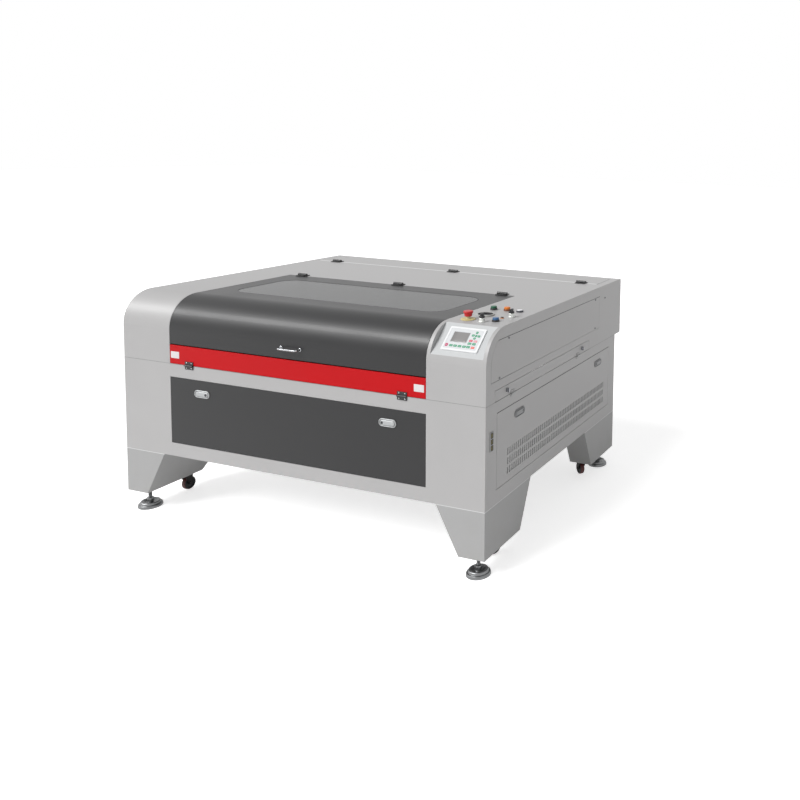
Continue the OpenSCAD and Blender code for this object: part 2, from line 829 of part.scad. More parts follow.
// Housing of folded sheet: front curve, columns, deck, rear tube compartment
module upper_housing() {
  color("lightgray")
    at_front() {
      difference() {
        along_x(-half_w, half_w)
          housing_outline(0);
        deck_holes();
        along_x(-half_w + sheet_t, half_w - sheet_t) {
          intersection() {
            housing_outline(sheet_t);
            translate([0, seam_z + sheet_t])
              square([housing_d, top_z]);
          }
          translate([sheet_t, seam_z - over])
            square([cabinet_d - 2 * sheet_t, sheet_t + 2 * over]);
        }
        box(-open_x, open_x, -over, lid_d, seam_z - over, top_z + over);
        along_x(recess_x0, recess_x1)
          recess_outline(0);
        for (k = [-1, 1]) {
          translate([k * half_w, 0, 0])
            box(-sheet_t - over, sheet_t + over, side_slot_y, side_slot_y + side_slot_l,
              seam_z - over, slot_top_z);
          translate([k * half_w, 0, 0])
            along_x(-sheet_t - over, sheet_t + over)
              panel_outline(0);
        }
        box(-open_x, open_x, housing_d - sheet_t - over, housing_d + over, rear_slot_z,
          slot_top_z);
        box(-cover_x - gap, cover_x + gap, cover_y - gap, cover_end_y + gap, top_z - sheet_t - over,
          top_z + over);
      }
      // folded returns round the lid opening
      for (k = [-1, 1])
        translate([k * (open_x + sheet_t / 2), 0, 0])
          along_x(-sheet_t / 2, sheet_t / 2)
            intersection() {
              difference() {
                housing_outline(0);
                housing_outline(return_d);
              }
              translate([0, seam_z])
                square([lid_d, top_z]);
            }
      box(-open_x - sheet_t, open_x + sheet_t, lid_d, lid_d + sheet_t, top_z - return_d, top_z);
      // slanted floor and cheeks of the control recess
      along_x(recess_x0 - sheet_t, recess_x1 + sheet_t)
        difference() {
          recess_outline(sheet_t);
          recess_outline(0);
        }
      for (x = [recess_x0 - sheet_t, recess_x1])
        along_x(x, x + sheet_t)
          recess_outline(sheet_t);
      // frames behind the side access panels
      for (k = [-1, 1])
        translate([k * (half_w - sheet_t * 1.5), 0, 0])
          along_x(-sheet_t / 2, sheet_t / 2)
            difference() {
              panel_outline(-panel_frame_w / 2);
              panel_outline(panel_frame_w);
            }
      // ledge below the rear cover, and the tube compartment
      difference() {
        box(-cover_x - ledge_w, cover_x + ledge_w, cover_y - ledge_w, housing_d - sheet_t,
          top_z - 2 * sheet_t, top_z - sheet_t);
        box(-cover_x + ledge_w, cover_x - ledge_w, cover_y + ledge_w, cover_end_y - ledge_w,
          top_z - 2 * sheet_t - over, top_z);
      }
      box(-half_w + sheet_t, half_w - sheet_t, wall_y - sheet_t, wall_y, tray_wall_z,
        top_z - sheet_t);
      box(-half_w + sheet_t, half_w - sheet_t, wall_y - sheet_t, housing_d - sheet_t, tray_z,
        tray_z + sheet_t);
    }
}

// One tapered leg box with its outer corner at the origin, reaching to -X and +Y
module leg_outline(w_top, w_bottom, t) {
  slope = (w_top - w_bottom) / (cabinet_z - leg_z);
  shift = t * sqrt(1 + slope * slope);
  base = t > 0 ? foot_plate_t : 0;
  cap = t > 0 ? over : 0;
  polygon([
    [t, leg_z + base],
    [w_bottom + slope * base - shift, leg_z + base],
    [w_top + slope * cap - shift, cabinet_z + cap],
    [t, cabinet_z + cap]
  ]);
}

module leg_body(w_top, w_bottom, t) {
  intersection() {
    rotate([90, 0, 0])
      mirror([1, 0, 0])
        linear_extrude(height = 3 * leg_top_d, center = true)
          leg_outline(w_top, w_bottom, t);
    along_x(-leg_top_w, leg_top_w)
      leg_outline(leg_top_d, leg_bottom_d, t);
  }
}

// Hollow leg box with the hole for the stem of its levelling foot
module leg_box(w_top, w_bottom) {
  difference() {
    leg_body(w_top, w_bottom, 0);
    leg_body(w_top, w_bottom, sheet_t);
    rod_z(leg_z - over, leg_z + foot_plate_t + over, -foot_in_x, foot_in_y, stem_r + stem_gap);
  }
}

module legs() {
  color("lightgray")
    at_front()
      for (mx = [0, 1])
        mirror([mx, 0, 0]) {
          translate([half_w, 0, 0])
            leg_box(leg_top_w, leg_bottom_w);
          translate([half_w, cabinet_d, 0])
            mirror([0, 1, 0])
              leg_box(rear_leg_w, rear_leg_w);
        }
}

// Levelling foot: stepped dish, hexagon nut and threaded stem
module foot(sx, rear) {
  x = sx * (half_w - foot_in_x);
  y = rear ? cabinet_d - foot_in_y : foot_in_y;
  rim_in = pad_r * 0.95;
  ring = pad_r * 0.76;
  dish = pad_r * 0.64;
  boss = pad_r * 0.24;
  at_front()
    translate([x, y, 0]) {
      rotate_extrude()
        polygon([
          [0, 0],
          [pad_r, 0],
          [rim_in, pad_base_h],
          [ring + 1, pad_rim_h - 2],
          [ring, pad_rim_h],
          [dish, pad_rim_h],
          [boss + 6, pad_rim_h - pad_dish_d],
          [boss, pad_rim_h - pad_dish_d],
          [boss, pad_rim_h + 2],
          [0, pad_rim_h + 2]
        ]);
      cylinder(h = stem_top_z, r = stem_r);
      translate([0, 0, pad_rim_h + 2])
        cylinder(h = nut_h, r = nut_r, $fn = 6);
    }
}

module foot_front_right() {
  color("silver")
    foot(1, false);
}

module foot_front_left() {
  color("silver")
    foot(-1, false);
}

module foot_rear_right() {
  color("silver")
    foot(1, true);
}

module foot_rear_left() {
  color("silver")
    foot(-1, true);
}

module caster_place(k) {
  sx = (k == 0 || k == 2) ? 1 : -1;
  y = k < 2 ? caster_in_y : cabinet_d - caster_in_y;
  at_front()
    translate([sx * (half_w - caster_in_x), y, 0])
      children();
}

// Castor mounting plates with race, swivel pin and pin head
module caster_plates() {
  color("dimgray")
    for (k = [0:3])
      caster_place(k) {
        translate([-caster_plate_w / 2, -caster_plate_w / 2, leg_z - caster_plate_t])
          cube([caster_plate_w, caster_plate_w, caster_plate_t]);
        rod_z(swivel_z, leg_z, 0, 0, race_r);
        rod_z(swivel_z - crown_t - swivel_head_h, leg_z, 0, 0, swivel_r);
        rod_z(swivel_z - crown_t - swivel_head_h - hinge_gap, swivel_z - crown_t - hinge_gap, 0, 0,
          swivel_head_r);
      }
}

module caster_fork(k) {
  outer_x = cheek_x + cheek_t;
  color("dimgray")
    caster_place(k)
      rotate([0, 0, caster_angle[k]]) {
        difference() {
          box(-outer_x, outer_x, -swivel_head_r * 1.4, trail + cheek_w / 2, swivel_z - crown_t,
            swivel_z - race_gap);
          rod_z(0, leg_z, 0, 0, swivel_r + bearing_gap);
        }
        for (s = [-1, 1])
          translate([s * (cheek_x + cheek_t / 2), 0, 0]) {
            along_x(-cheek_t / 2, cheek_t / 2)
              polygon([
                [trail - cheek_w / 2, axle_z],
                [trail + cheek_w / 2, axle_z],
                [trail + cheek_w / 2, swivel_z - crown_t / 2],
                [-swivel_head_r * 1.4, swivel_z - crown_t / 2],
                [-swivel_head_r * 1.4, swivel_z - crown_t * 1.5]
              ]);
            rod_x(-cheek_t / 2, cheek_t / 2, trail, axle_z, cheek_w / 2);
            rod_x(s > 0 ? -cheek_t / 2 : -cheek_t / 2 - axle_nut_t,
              s > 0 ? cheek_t / 2 + axle_nut_t : cheek_t / 2, trail, axle_z, axle_nut_r);
          }
        rod_x(-cheek_x - cheek_t, cheek_x + cheek_t, trail, axle_z, axle_r);
      }
}

module caster_wheel(k) {
  w = wheel_w / 2;
  hub = axle_r + bearing_gap;
  color("saddlebrown")
    caster_place(k)
      rotate([0, 0, caster_angle[k]])
        translate([0, trail, axle_z])
          rotate([0, 90, 0])
            rotate_extrude()
              difference() {
                translate([hub, -w])
                  square([wheel_r - hub, 2 * w]);
                for (s = [-1, 1])
                  difference() {
                    translate([wheel_r - tread_r, s > 0 ? w - tread_r : -w - over])
                      square([tread_r + over, tread_r + over]);
                    translate([wheel_r - tread_r, s * (w - tread_r)])
                      circle(r = tread_r);
                  }
                for (s = [-1, 1])
                  translate([hub + wheel_r / 6, s > 0 ? w - 2 : -w - over])
                    square([wheel_r / 2, 2 + over]);
              }
}

module caster_fork_front_right() {
  caster_fork(0);
}

module caster_fork_front_left() {
  caster_fork(1);
}

module caster_fork_rear_right() {
  caster_fork(2);
}

module caster_fork_rear_left() {
  caster_fork(3);
}

module caster_wheel_front_right() {
  caster_wheel(0);
}

module caster_wheel_front_left() {
  caster_wheel(1);
}

module caster_wheel_rear_right() {
  caster_wheel(2);
}

module caster_wheel_rear_left() {
  caster_wheel(3);
}

// All hinge halves that stay on the body
module hinge_leaves_fixed() {
  color("black")
    at_front() {
      lid_hinge(1, true);
      cover_hinge(-1, true);
      front_flap_hinge(-1, true);
      rear_flap_hinge(1, true);
      side_flap_hinge(1, -1, true);
      side_flap_hinge(-1, -1, true);
    }
}

// Curved lid shell with folded edges
module lid() {
  x = open_x - gap;
  color("dimgray")
    at_front() {
      difference() {
        along_x(-x, x)
          intersection() {
            difference() {
              housing_outline(0);
              housing_outline(lid_t);
            }
            translate([0, lid_z])
              square([lid_d - gap, top_z]);
          }
        translate([0, window_y + window_d / 2, top_z - lid_t - over])
          linear_extrude(height = lid_t + 2 * over)
            rounded_rect(window_w, window_d, window_r);
      }
      for (k = [-1, 1])
        translate([k * (x - sheet_t / 2), 0, 0])
          along_x(-sheet_t / 2, sheet_t / 2)
            intersection() {
              difference() {
                housing_outline(0);
                housing_outline(return_d);
              }
              translate([0, lid_z])
                square([lid_d - gap, top_z]);
            }
      box(-x, x, lid_d - gap - sheet_t, lid_d - gap, top_z - return_d, top_z);
      box(-x, x, 0, return_d / 2, lid_z, lid_z + sheet_t);
    }
}

module lid_window() {
  color("slategray")
    at_front()
      translate([0, window_y + window_d / 2, 0]) {
        translate([0, 0, top_z - lid_t - pane_t])
          linear_extrude(height = pane_t)
            rounded_rect(window_w + 2 * pane_rim, window_d + 2 * pane_rim, window_r + pane_rim);
        translate([0, 0, top_z - lid_t - pane_t / 2])
          linear_extrude(height = lid_t + pane_t / 2 - hinge_gap)
            rounded_rect(window_w - gap, window_d - gap, window_r);
      }
}

module lid_handle() {
  color("silver")
    at_front()
      translate([0, 0, handle_z]) {
        for (k = [-1, 1]) {
          rod_y(-handle_out, 0, k * handle_w / 2, 0, handle_r);
          rod_y(-handle_foot_t, 0, k * handle_w / 2, 0, handle_foot_r);
          translate([k * handle_w / 2, -handle_out, 0])
            sphere(r = handle_r);
        }
        rod_x(-handle_w / 2, handle_w / 2, -handle_out, 0, handle_r);
      }
}

module lid_hinge_leaves() {
  color("black")
    at_front()
      lid_hinge(-1, false);
}

module front_flap() {
  x = open_x - gap;
  color("red")
    at_front() {
      box(-x, x, 0, door_t, seam_z + gap, front_slot_z - gap);
      box(-x, x, 0, flap_fold, front_slot_z - gap - sheet_t, front_slot_z - gap);
    }
}

module front_flap_leaves() {
  color("black")
    at_front()
      front_flap_hinge(1, false);
}

module rear_flap() {
  x = open_x - gap;
  color("lightgray")
    at_front() {
      box(-x, x, housing_d - sheet_t, housing_d, rear_slot_z + gap, slot_top_z - gap);
      rear_flap_hinge(-1, false);
    }
}

// Side pass-through flap with its hinge halves, bored where its turn knobs are separate pieces
module side_flap(right, bored) {
  color("lightgray")
    at_front() {
      difference() {
        translate([right * (half_w - sheet_t / 2), 0, 0])
          box(-sheet_t / 2, sheet_t / 2, side_slot_y + gap, side_slot_y + side_slot_l - gap,
            seam_z + gap, slot_top_z - gap);
        if (bored)
          for (y = knob_y)
            rod_x(-body_w, body_w, y, seam_z + knob_up, knob_shaft_r + shaft_gap);
      }
      side_flap_hinge(right, 1, false);
    }
}

module side_flap_right() {
  side_flap(1, true);
}

module side_flap_left() {
  side_flap(-1, false);
  color("lightgray")
    for (y = knob_y)
      flap_knob(-1, y);
}

// Quarter-turn knob with a short cam behind the flap; the outside is towards +X before mirroring
module flap_knob(right, y) {
  color("silver")
    at_front()
      mirror([right > 0 ? 0 : 1, 0, 0])
        translate([half_w, y, seam_z + knob_up]) {
          rod_x(0, knob_disc_t, 0, 0, knob_r);
          intersection() {
            rod_x(0, knob_out, 0, 0, knob_r);
            box(0, knob_out, -knob_grip_w / 2, knob_grip_w / 2, -knob_r, knob_r);
          }
          rod_x(-sheet_t - cam_t, over, 0, 0, knob_shaft_r);
          box(-sheet_t - cam_t, -sheet_t, -knob_shaft_r, knob_shaft_r, 0, cam_l);
        }
}

module flap_knob_right_front() {
  flap_knob(1, knob_y[0]);
}

module flap_knob_right_rear() {
  flap_knob(1, knob_y[1]);
}

module rear_cover() {
  color("lightgray")
    at_front()
      box(-cover_x, cover_x, cover_y, cover_end_y, top_z - sheet_t, top_z);
}

module rear_cover_leaves() {
  color("black")
    at_front()
      cover_hinge(1, false);
}

// Lower front door: flat sheet with two inner brackets that carry the pivot pins
module front_door() {
  x = open_x - gap;
  color("dimgray")
    at_front() {
      difference() {
        box(-x, x, 0, door_t, door_z + gap, door_z + door_h - gap);
        for (k = [-1, 1])
          translate([k * front_latch_x, door_t / 2, door_z + door_h - front_latch_down])
            rotate([90, 0, 0])
              linear_extrude(height = 2 * door_t, center = true)
                capsule(latch_l - 2 * latch_wall, latch_h - 2 * latch_wall);
      }
      for (k = [-1, 1]) {
        translate([k * (x - sheet_t), 0, 0])
          box(-sheet_t, sheet_t, 0, pivot_in + 2 * pivot_r, door_z + pivot_up - 2 * pivot_r,
            door_z + pivot_up + 2 * pivot_r);
        rod_x(k > 0 ? x - sheet_t : -open_x - 2 * sheet_t, k > 0 ? open_x + 2 * sheet_t : sheet_t - x,
          pivot_in, door_z + pivot_up, pivot_r);
      }
    }
}

module capsule(l, h) {
  square([l - h, h], center = true);
  for (k = [-1, 1])
    translate([k * (l - h) / 2, 0])
      circle(r = h / 2);
}

// Latch case in its own frame: face plane y = 0, length along X
module latch_case() {
  body_l = latch_l - 2 * latch_wall - paddle_gap;
  body_h = latch_h - 2 * latch_wall - paddle_gap;
  difference() {
    union() {
      rotate([90, 0, 0])
        linear_extrude(height = latch_out)
          capsule(latch_l, latch_h);
      translate([0, latch_in, 0])
        rotate([90, 0, 0])
          linear_extrude(height = latch_in + over)
            capsule(body_l, body_h);
    }
    translate([0, latch_in - sheet_t, 0])
      rotate([90, 0, 0])
        linear_extrude(height = latch_in + latch_out)
          capsule(body_l - latch_wall, body_h - latch_wall);
  }
}

// Latch paddle with its lock cylinder on the -X side and the pivot pin on the +X side
module latch_paddle() {
  l = latch_l - 3 * latch_wall - 3 * paddle_gap;
  h = latch_h - 3 * latch_wall - 3 * paddle_gap;
  rotate([90, 0, 0])
    linear_extrude(height = paddle_t)
      capsule(l, h);
  rod_y(-paddle_t - 1, 0, -lock_x, 0, lock_r);
  translate([paddle_pin_x, -paddle_t / 2, -h / 2 - paddle_gap])
    cylinder(h = h + 2 * paddle_gap, r = paddle_pin_r);
}

module front_latch_place(k) {
  at_front()
    translate([k * front_latch_x, 0, door_z + door_h - front_latch_down])
      mirror([k > 0 ? 0 : 1, 0, 0])
        children();
}

module side_latch_place(k) {
  y = k > 0 ? side_latch_rear_y : side_latch_front_y;
  at_front()
    translate([half_w, y, side_door_z + side_door_h - side_latch_down])
      rotate([0, 0, 90])
        mirror([k > 0 ? 0 : 1, 0, 0])
          children();
}

module front_latch_cases() {
  color("silver")
    for (k = [-1, 1])
      front_latch_place(k)
        latch_case();
}

module front_paddle_right() {
  color("silver")
    front_latch_place(1)
      latch_paddle();
}

module front_paddle_left() {
  color("silver")
    front_latch_place(-1)
      latch_paddle();
}

// Lower side door with three rows of vent slots
module side_door() {
  y0 = side_door_y + gap;
  y1 = side_door_y + side_door_l - gap;
  color("lightgray")
    at_front() {
      difference() {
        box(half_w - door_t, half_w, y0, y1, side_door_z + gap, side_door_z + side_door_h - gap);
        for (i = [0:vent_n - 1], j = [0:vent_rows - 1])
          box(half_w - 2 * door_t, half_w + over, vent_y + i * vent_pitch,
            vent_y + i * vent_pitch + vent_w, vent_z + j * vent_row, vent_z + j * vent_row + vent_h);
        for (y = [side_latch_front_y, side_latch_rear_y])
          translate([half_w, y, side_door_z + side_door_h - side_latch_down])
            rotate([90, 0, 90])
              linear_extrude(height = 4 * door_t, center = true)
                capsule(latch_l - 2 * latch_wall, latch_h - 2 * latch_wall);
      }
      for (k = [-1, 1]) {
        y = k > 0 ? y1 - sheet_t : y0 + sheet_t;
        translate([0, y, 0])
          box(half_w - pivot_in - 2 * pivot_r, half_w, -sheet_t, sheet_t,
            side_door_z + pivot_up - 2 * pivot_r, side_door_z + pivot_up + 2 * pivot_r);
        rod_y(k > 0 ? y : side_door_y - 2 * sheet_t, k > 0 ? side_door_y + side_door_l + 2 * sheet_t : y,
          half_w - pivot_in, side_door_z + pivot_up, pivot_r);
      }
    }
}

module side_latch_cases() {
  color("silver")
    for (k = [-1, 1])
      side_latch_place(k)
        latch_case();
}

module side_paddle_front() {
  color("silver")
    side_latch_place(-1)
      latch_paddle();
}

module side_paddle_rear() {
  color("silver")
    side_latch_place(1)
      latch_paddle();
}

// Upper access panels of both sides, flush in their openings
module side_panels_upper() {
  color("lightgray")
    at_front()
      for (k = [-1, 1])
        translate([k * (half_w - sheet_t / 2), 0, 0])
          along_x(-sheet_t / 2, sheet_t / 2)
            panel_outline(gap / 2);
}

module panel_screws() {
  y0 = panel_in + screw_in;
  y1 = panel_end_y - screw_in - 45;
  zt = panel_top_z - screw_in;
  zb = panel_z + screw_in;
  color("gray")
    at_front()
      for (k = [-1, 1])
        for (p = [[y0 + 125, zt], [y1, zt], [y0 + 54, zb], [y1, zb], [y1 + 122, zt - 10]])
          translate([k * half_w, p[0], p[1]])
            rod_x(k > 0 ? 0 : -screw_h, k > 0 ? screw_h : 0, 0, 0, screw_r);
}

// Display panel: frame, sunk key field and screen
module display_panel() {
  color("whitesmoke")
    at_front()
      translate([half_w - display_in, recess_low_y, recess_z])
        rotate([recess_a, 0, 0])
          translate([0, display_up + display_h / 2, 0])
            difference() {
              linear_extrude(height = display_t)
                rounded_rect(display_w, display_h, display_r);
              translate([0, 0, display_t - display_sink])
                linear_extrude(height = display_t)
                  rounded_rect(display_w - 2 * display_rim, display_h - 2 * display_rim, display_r / 2);
              translate([screen_x, screen_y, display_t - 2 * display_sink])
                linear_extrude(height = display_t)
                  square([screen_w, screen_h], center = true);
            }
}

// Place on the deck given by the distance from the side wall and from the front
module on_deck(x, y) {
  at_front()
    translate([half_w - x, y, top_z])
      children();
}

// Threaded body below the deck, or with a clearance the hole it passes through
module control_body(r, clear) {
  translate([0, 0, -control_below])
    cylinder(h = control_below + clear, r = r + clear);
}

module panel_meter() {
  color("black")
    on_deck(meter_x, meter_y) {
      control_body(meter_body_r, 0);
      difference() {
        cylinder(h = meter_h, r = meter_r);
        translate([0, 0, meter_h - meter_sink])
          cylinder(h = meter_h, r = meter_r - meter_rim);
      }
    }
}

module estop_collar() {
  color("gold")
    on_deck(estop_x, estop_y)
      difference() {
        cylinder(h = collar_h, r = collar_r);
        translate([0, 0, -over])
          cylinder(h = collar_h + 2 * over, r = control_r + button_gap);
      }
}

module estop() {
  color("red")
    on_deck(estop_x, estop_y) {
      translate([0, 0, -control_below])
        cylinder(h = control_below + estop_up + over, r = control_r);
      translate([0, 0, estop_up])
        cylinder(h = estop_h * 0.4, r1 = estop_r * 0.8, r2 = estop_r);
      translate([0, 0, estop_up + estop_h * 0.4])
        cylinder(h = estop_h * 0.35, r = estop_r);
      translate([0, 0, estop_up + estop_h * 0.75])
        cylinder(h = estop_h * 0.25, r1 = estop_r, r2 = estop_r * 0.82);
    }
}

module bezel() {
  control_body(control_r, 0);
  difference() {
    cylinder(h = bezel_h, r = bezel_r);
    translate([0, 0, bezel_floor])
      cylinder(h = bezel_h, r = cap_r + button_gap);
  }
}

module button_bezels() {
  color("black") {
    on_deck(green_x, green_y)
      bezel();
    on_deck(orange_x, orange_y)
      bezel();
    on_deck(white_x, white_y)
      bezel();
    on_deck(blue_x, blue_y)
      bezel();
    on_deck(lamp_x, lamp_y)
      cylinder(h = lamp_h, r = lamp_r);
  }
}

module button_cap(top) {
  base = bezel_floor + cap_travel;
  translate([0, 0, base])
    cylinder(h = top - base, r = cap_r);
}

module button_green() {
  color("green")
    on_deck(green_x, green_y)
      button_cap(cap_h);
}

module button_orange() {
  color("orange")
    on_deck(orange_x, orange_y)
      button_cap(cap_h);
}

module button_white() {
  color("white")
    on_deck(white_x, white_y)
      button_cap(flat_cap_h);
}

module button_blue() {
  color("blue")
    on_deck(blue_x, blue_y)
      button_cap(cap_h);
}

module selector_base() {
  difference() {
    union() {
      cylinder(h = key_base_h, r = key_base_r);
      control_body(control_r, 0);
    }
    translate([0, 0, key_base_h / 3])
      cylinder(h = key_base_h, r = key_shaft_r + button_gap);
  }
}

module switch_bases() {
  color("silver") {
    on_deck(key_front_x, key_front_y)
      selector_base();
    on_deck(key_rear_x, key_rear_y)
      selector_base();
  }
}

module selector_knob() {
  color("black") {
    translate([0, 0, key_base_h / 3 + hinge_gap])
      cylinder(h = key_base_h, r = key_shaft_r);
    translate([0, 0, key_base_h + hinge_gap])
      cylinder(h = key_disc_h, r = key_r);
    intersection() {
      translate([0, 0, key_base_h + hinge_gap])
        cylinder(h = key_h, r = key_r);
      translate([-key_grip_w / 2, -key_r, key_base_h + hinge_gap])
        cube([key_grip_w, 2 * key_r, key_h]);
    }
  }
}

module selector_front() {
  on_deck(key_front_x, key_front_y)
    selector_knob();
}

module selector_rear() {
  on_deck(key_rear_x, key_rear_y)
    selector_knob();
}

// Strip with sockets on the side wall by the front corner
module port_plate() {
  step = port_h / socket_n;
  color("black")
    at_front()
      difference() {
        box(half_w, half_w + port_t, port_y, port_y + port_w, port_z, port_z + port_h);
        for (i = [0:socket_n - 1])
          box(half_w + port_t / 2, half_w + port_t + over, port_y + (port_w - socket_w) / 2,
            port_y + (port_w + socket_w) / 2, port_z + (i + 0.5) * step - socket_h / 2,
            port_z + (i + 0.5) * step + socket_h / 2);
      }
}

// Two beams with a linear rail on top, from the front columns to the tube compartment wall
module linear_rails() {
  color("silver")
    at_front()
      for (k = [-1, 1])
        translate([k * rail_x, 0, 0]) {
          box(-beam_w / 2, beam_w / 2, sheet_t, wall_y - sheet_t, beam_z, rail_z);
          box(-rail_w / 2, rail_w / 2, return_d, wall_y - return_d, rail_z, rail_z + rail_h);
        }
}

module lift_place() {
  at_front()
    for (sx = [-1, 1], y = [table_y + lift_in, table_y + table_d - lift_in])
      translate([sx * (table_w / 2 + lift_out), y, 0])
        children();
}

module lift_screws() {
  color("silver")
    lift_place() {
      rod_z(cabinet_z + sheet_t, table_z + table_t, 0, 0, lift_r);
      rod_z(cabinet_z + sheet_t, cabinet_z + sheet_t + lift_flange_t, 0, 0, lift_flange_r);
    }
}

// Honeycomb table in a frame, with a bored lug at each lift screw
module worktable() {
  x = table_w / 2;
  y1 = table_y + table_d;
  color("silver")
    difference() {
      union() {
        at_front() {
          difference() {
            box(-x, x, table_y, y1, table_z, table_z + table_t);
            box(-x + table_rim, x - table_rim, table_y + table_rim, y1 - table_rim,
              table_z - over, table_z + table_t + over);
          }
          box(-x + table_rim - over, x - table_rim + over, table_y + table_rim - over,
            y1 - table_rim + over, table_z + table_t - comb_sink - comb_t,
            table_z + table_t - comb_sink);
        }
        lift_place()
          translate([-lug_w / 2, -lug_w / 2, table_z])
            cube([lug_w, lug_w, lug_t]);
      }
      lift_place()
        translate([0, 0, table_z - over])
          cylinder(h = table_t + 2 * over, r = lift_r + lift_gap);
    }
}

module gantry_beam() {
  y0 = gantry_y - gantry_d / 2;
  color("silver")
    at_front() {
      for (k = [-1, 1])
        translate([k * rail_x, 0, 0])
          difference() {
            box(-carriage_w / 2, carriage_w / 2, gantry_y - carriage_l / 2,
              gantry_y + carriage_l / 2, rail_z + 2, gantry_z);
            box(-rail_w / 2 - rail_gap, rail_w / 2 + rail_gap, 0, housing_d, rail_z,
              rail_z + rail_h + rail_gap);
          }
      box(-gantry_l / 2, gantry_l / 2, y0, y0 + gantry_d, gantry_z, gantry_z + gantry_h);
      box(-rail_x, rail_x, y0 - head_rail_d, y0, gantry_z + gantry_h / 2 - head_rail_h / 2,
        gantry_z + gantry_h / 2 + head_rail_h / 2);
    }
}

// Carriage on the head rail, mirror block, lens tube and nozzle
module laser_head() {
  face_y = gantry_y - gantry_d / 2 - rail_gap;
  mid_z = gantry_z + gantry_h / 2;
  lens_y = face_y - head_d - mirror_w / 2;
  color("dimgray")
    at_front() {
      difference() {
        box(-head_w / 2, head_w / 2, face_y - head_d, face_y, mid_z - head_h / 2,
          mid_z + head_h / 2);
        box(-head_w, head_w, face_y - head_rail_d, face_y + over,
          mid_z - head_rail_h / 2 - rail_gap, mid_z + head_rail_h / 2 + rail_gap);
      }
      box(-mirror_w / 2, mirror_w / 2, face_y - head_d - mirror_w, face_y - head_d + over,
        mid_z - head_h / 2, mid_z + head_h / 2);
      rod_z(lens_z, mid_z, 0, lens_y, lens_r);
      translate([0, lens_y, nozzle_z])
        cylinder(h = lens_z - nozzle_z, r1 = nozzle_r, r2 = lens_r);
    }
}

module laser_tube() {
  y = wall_y + tube_back;
  color("lightblue")
    at_front() {
      rod_x(-tube_l / 2, tube_l / 2, y, tube_z, tube_r);
      rod_x(-tube_l / 2 - tube_end_l, tube_l / 2 + tube_end_l, y, tube_z, tube_end_r);
    }
}

module tube_saddles() {
  y = wall_y + tube_back;
  color("dimgray")
    at_front()
      for (k = [-1, 1])
        difference() {
          translate([k * saddle_pitch / 2, y, 0])
            box(-saddle_w / 2, saddle_w / 2, -saddle_d / 2, saddle_d / 2, tray_z + sheet_t,
              tube_z - tube_r + saddle_horn);
          rod_x(-half_w, half_w, y, tube_z, tube_r + saddle_gap);
        }
}

lower_cabinet();
upper_housing();
legs();
foot_front_right();
foot_front_left();
foot_rear_right();
foot_rear_left();
caster_plates();
caster_fork_front_right();
caster_fork_front_left();
caster_fork_rear_right();
caster_fork_rear_left();
caster_wheel_front_right();
caster_wheel_front_left();
caster_wheel_rear_right();
caster_wheel_rear_left();
hinge_leaves_fixed();
lid();
lid_window();
lid_handle();
lid_hinge_leaves();
front_flap();
front_flap_leaves();
rear_flap();
side_flap_right();
side_flap_left();
flap_knob_right_front();
flap_knob_right_rear();
rear_cover();
rear_cover_leaves();
front_door();
front_latch_cases();
front_paddle_right();
front_paddle_left();
side_door();
side_latch_cases();
side_paddle_front();
side_paddle_rear();
side_panels_upper();
panel_screws();
display_panel();
panel_meter();
estop_collar();
estop();
button_bezels();
button_green();
button_orange();
button_white();
button_blue();
switch_bases();
selector_front();
selector_rear();
port_plate();
linear_rails();
lift_screws();
worktable();
gantry_beam();
laser_head();
laser_tube();
tube_saddles();
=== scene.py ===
import json
import math
import bpy
import bmesh
import numpy as np
from mathutils import Matrix, Vector

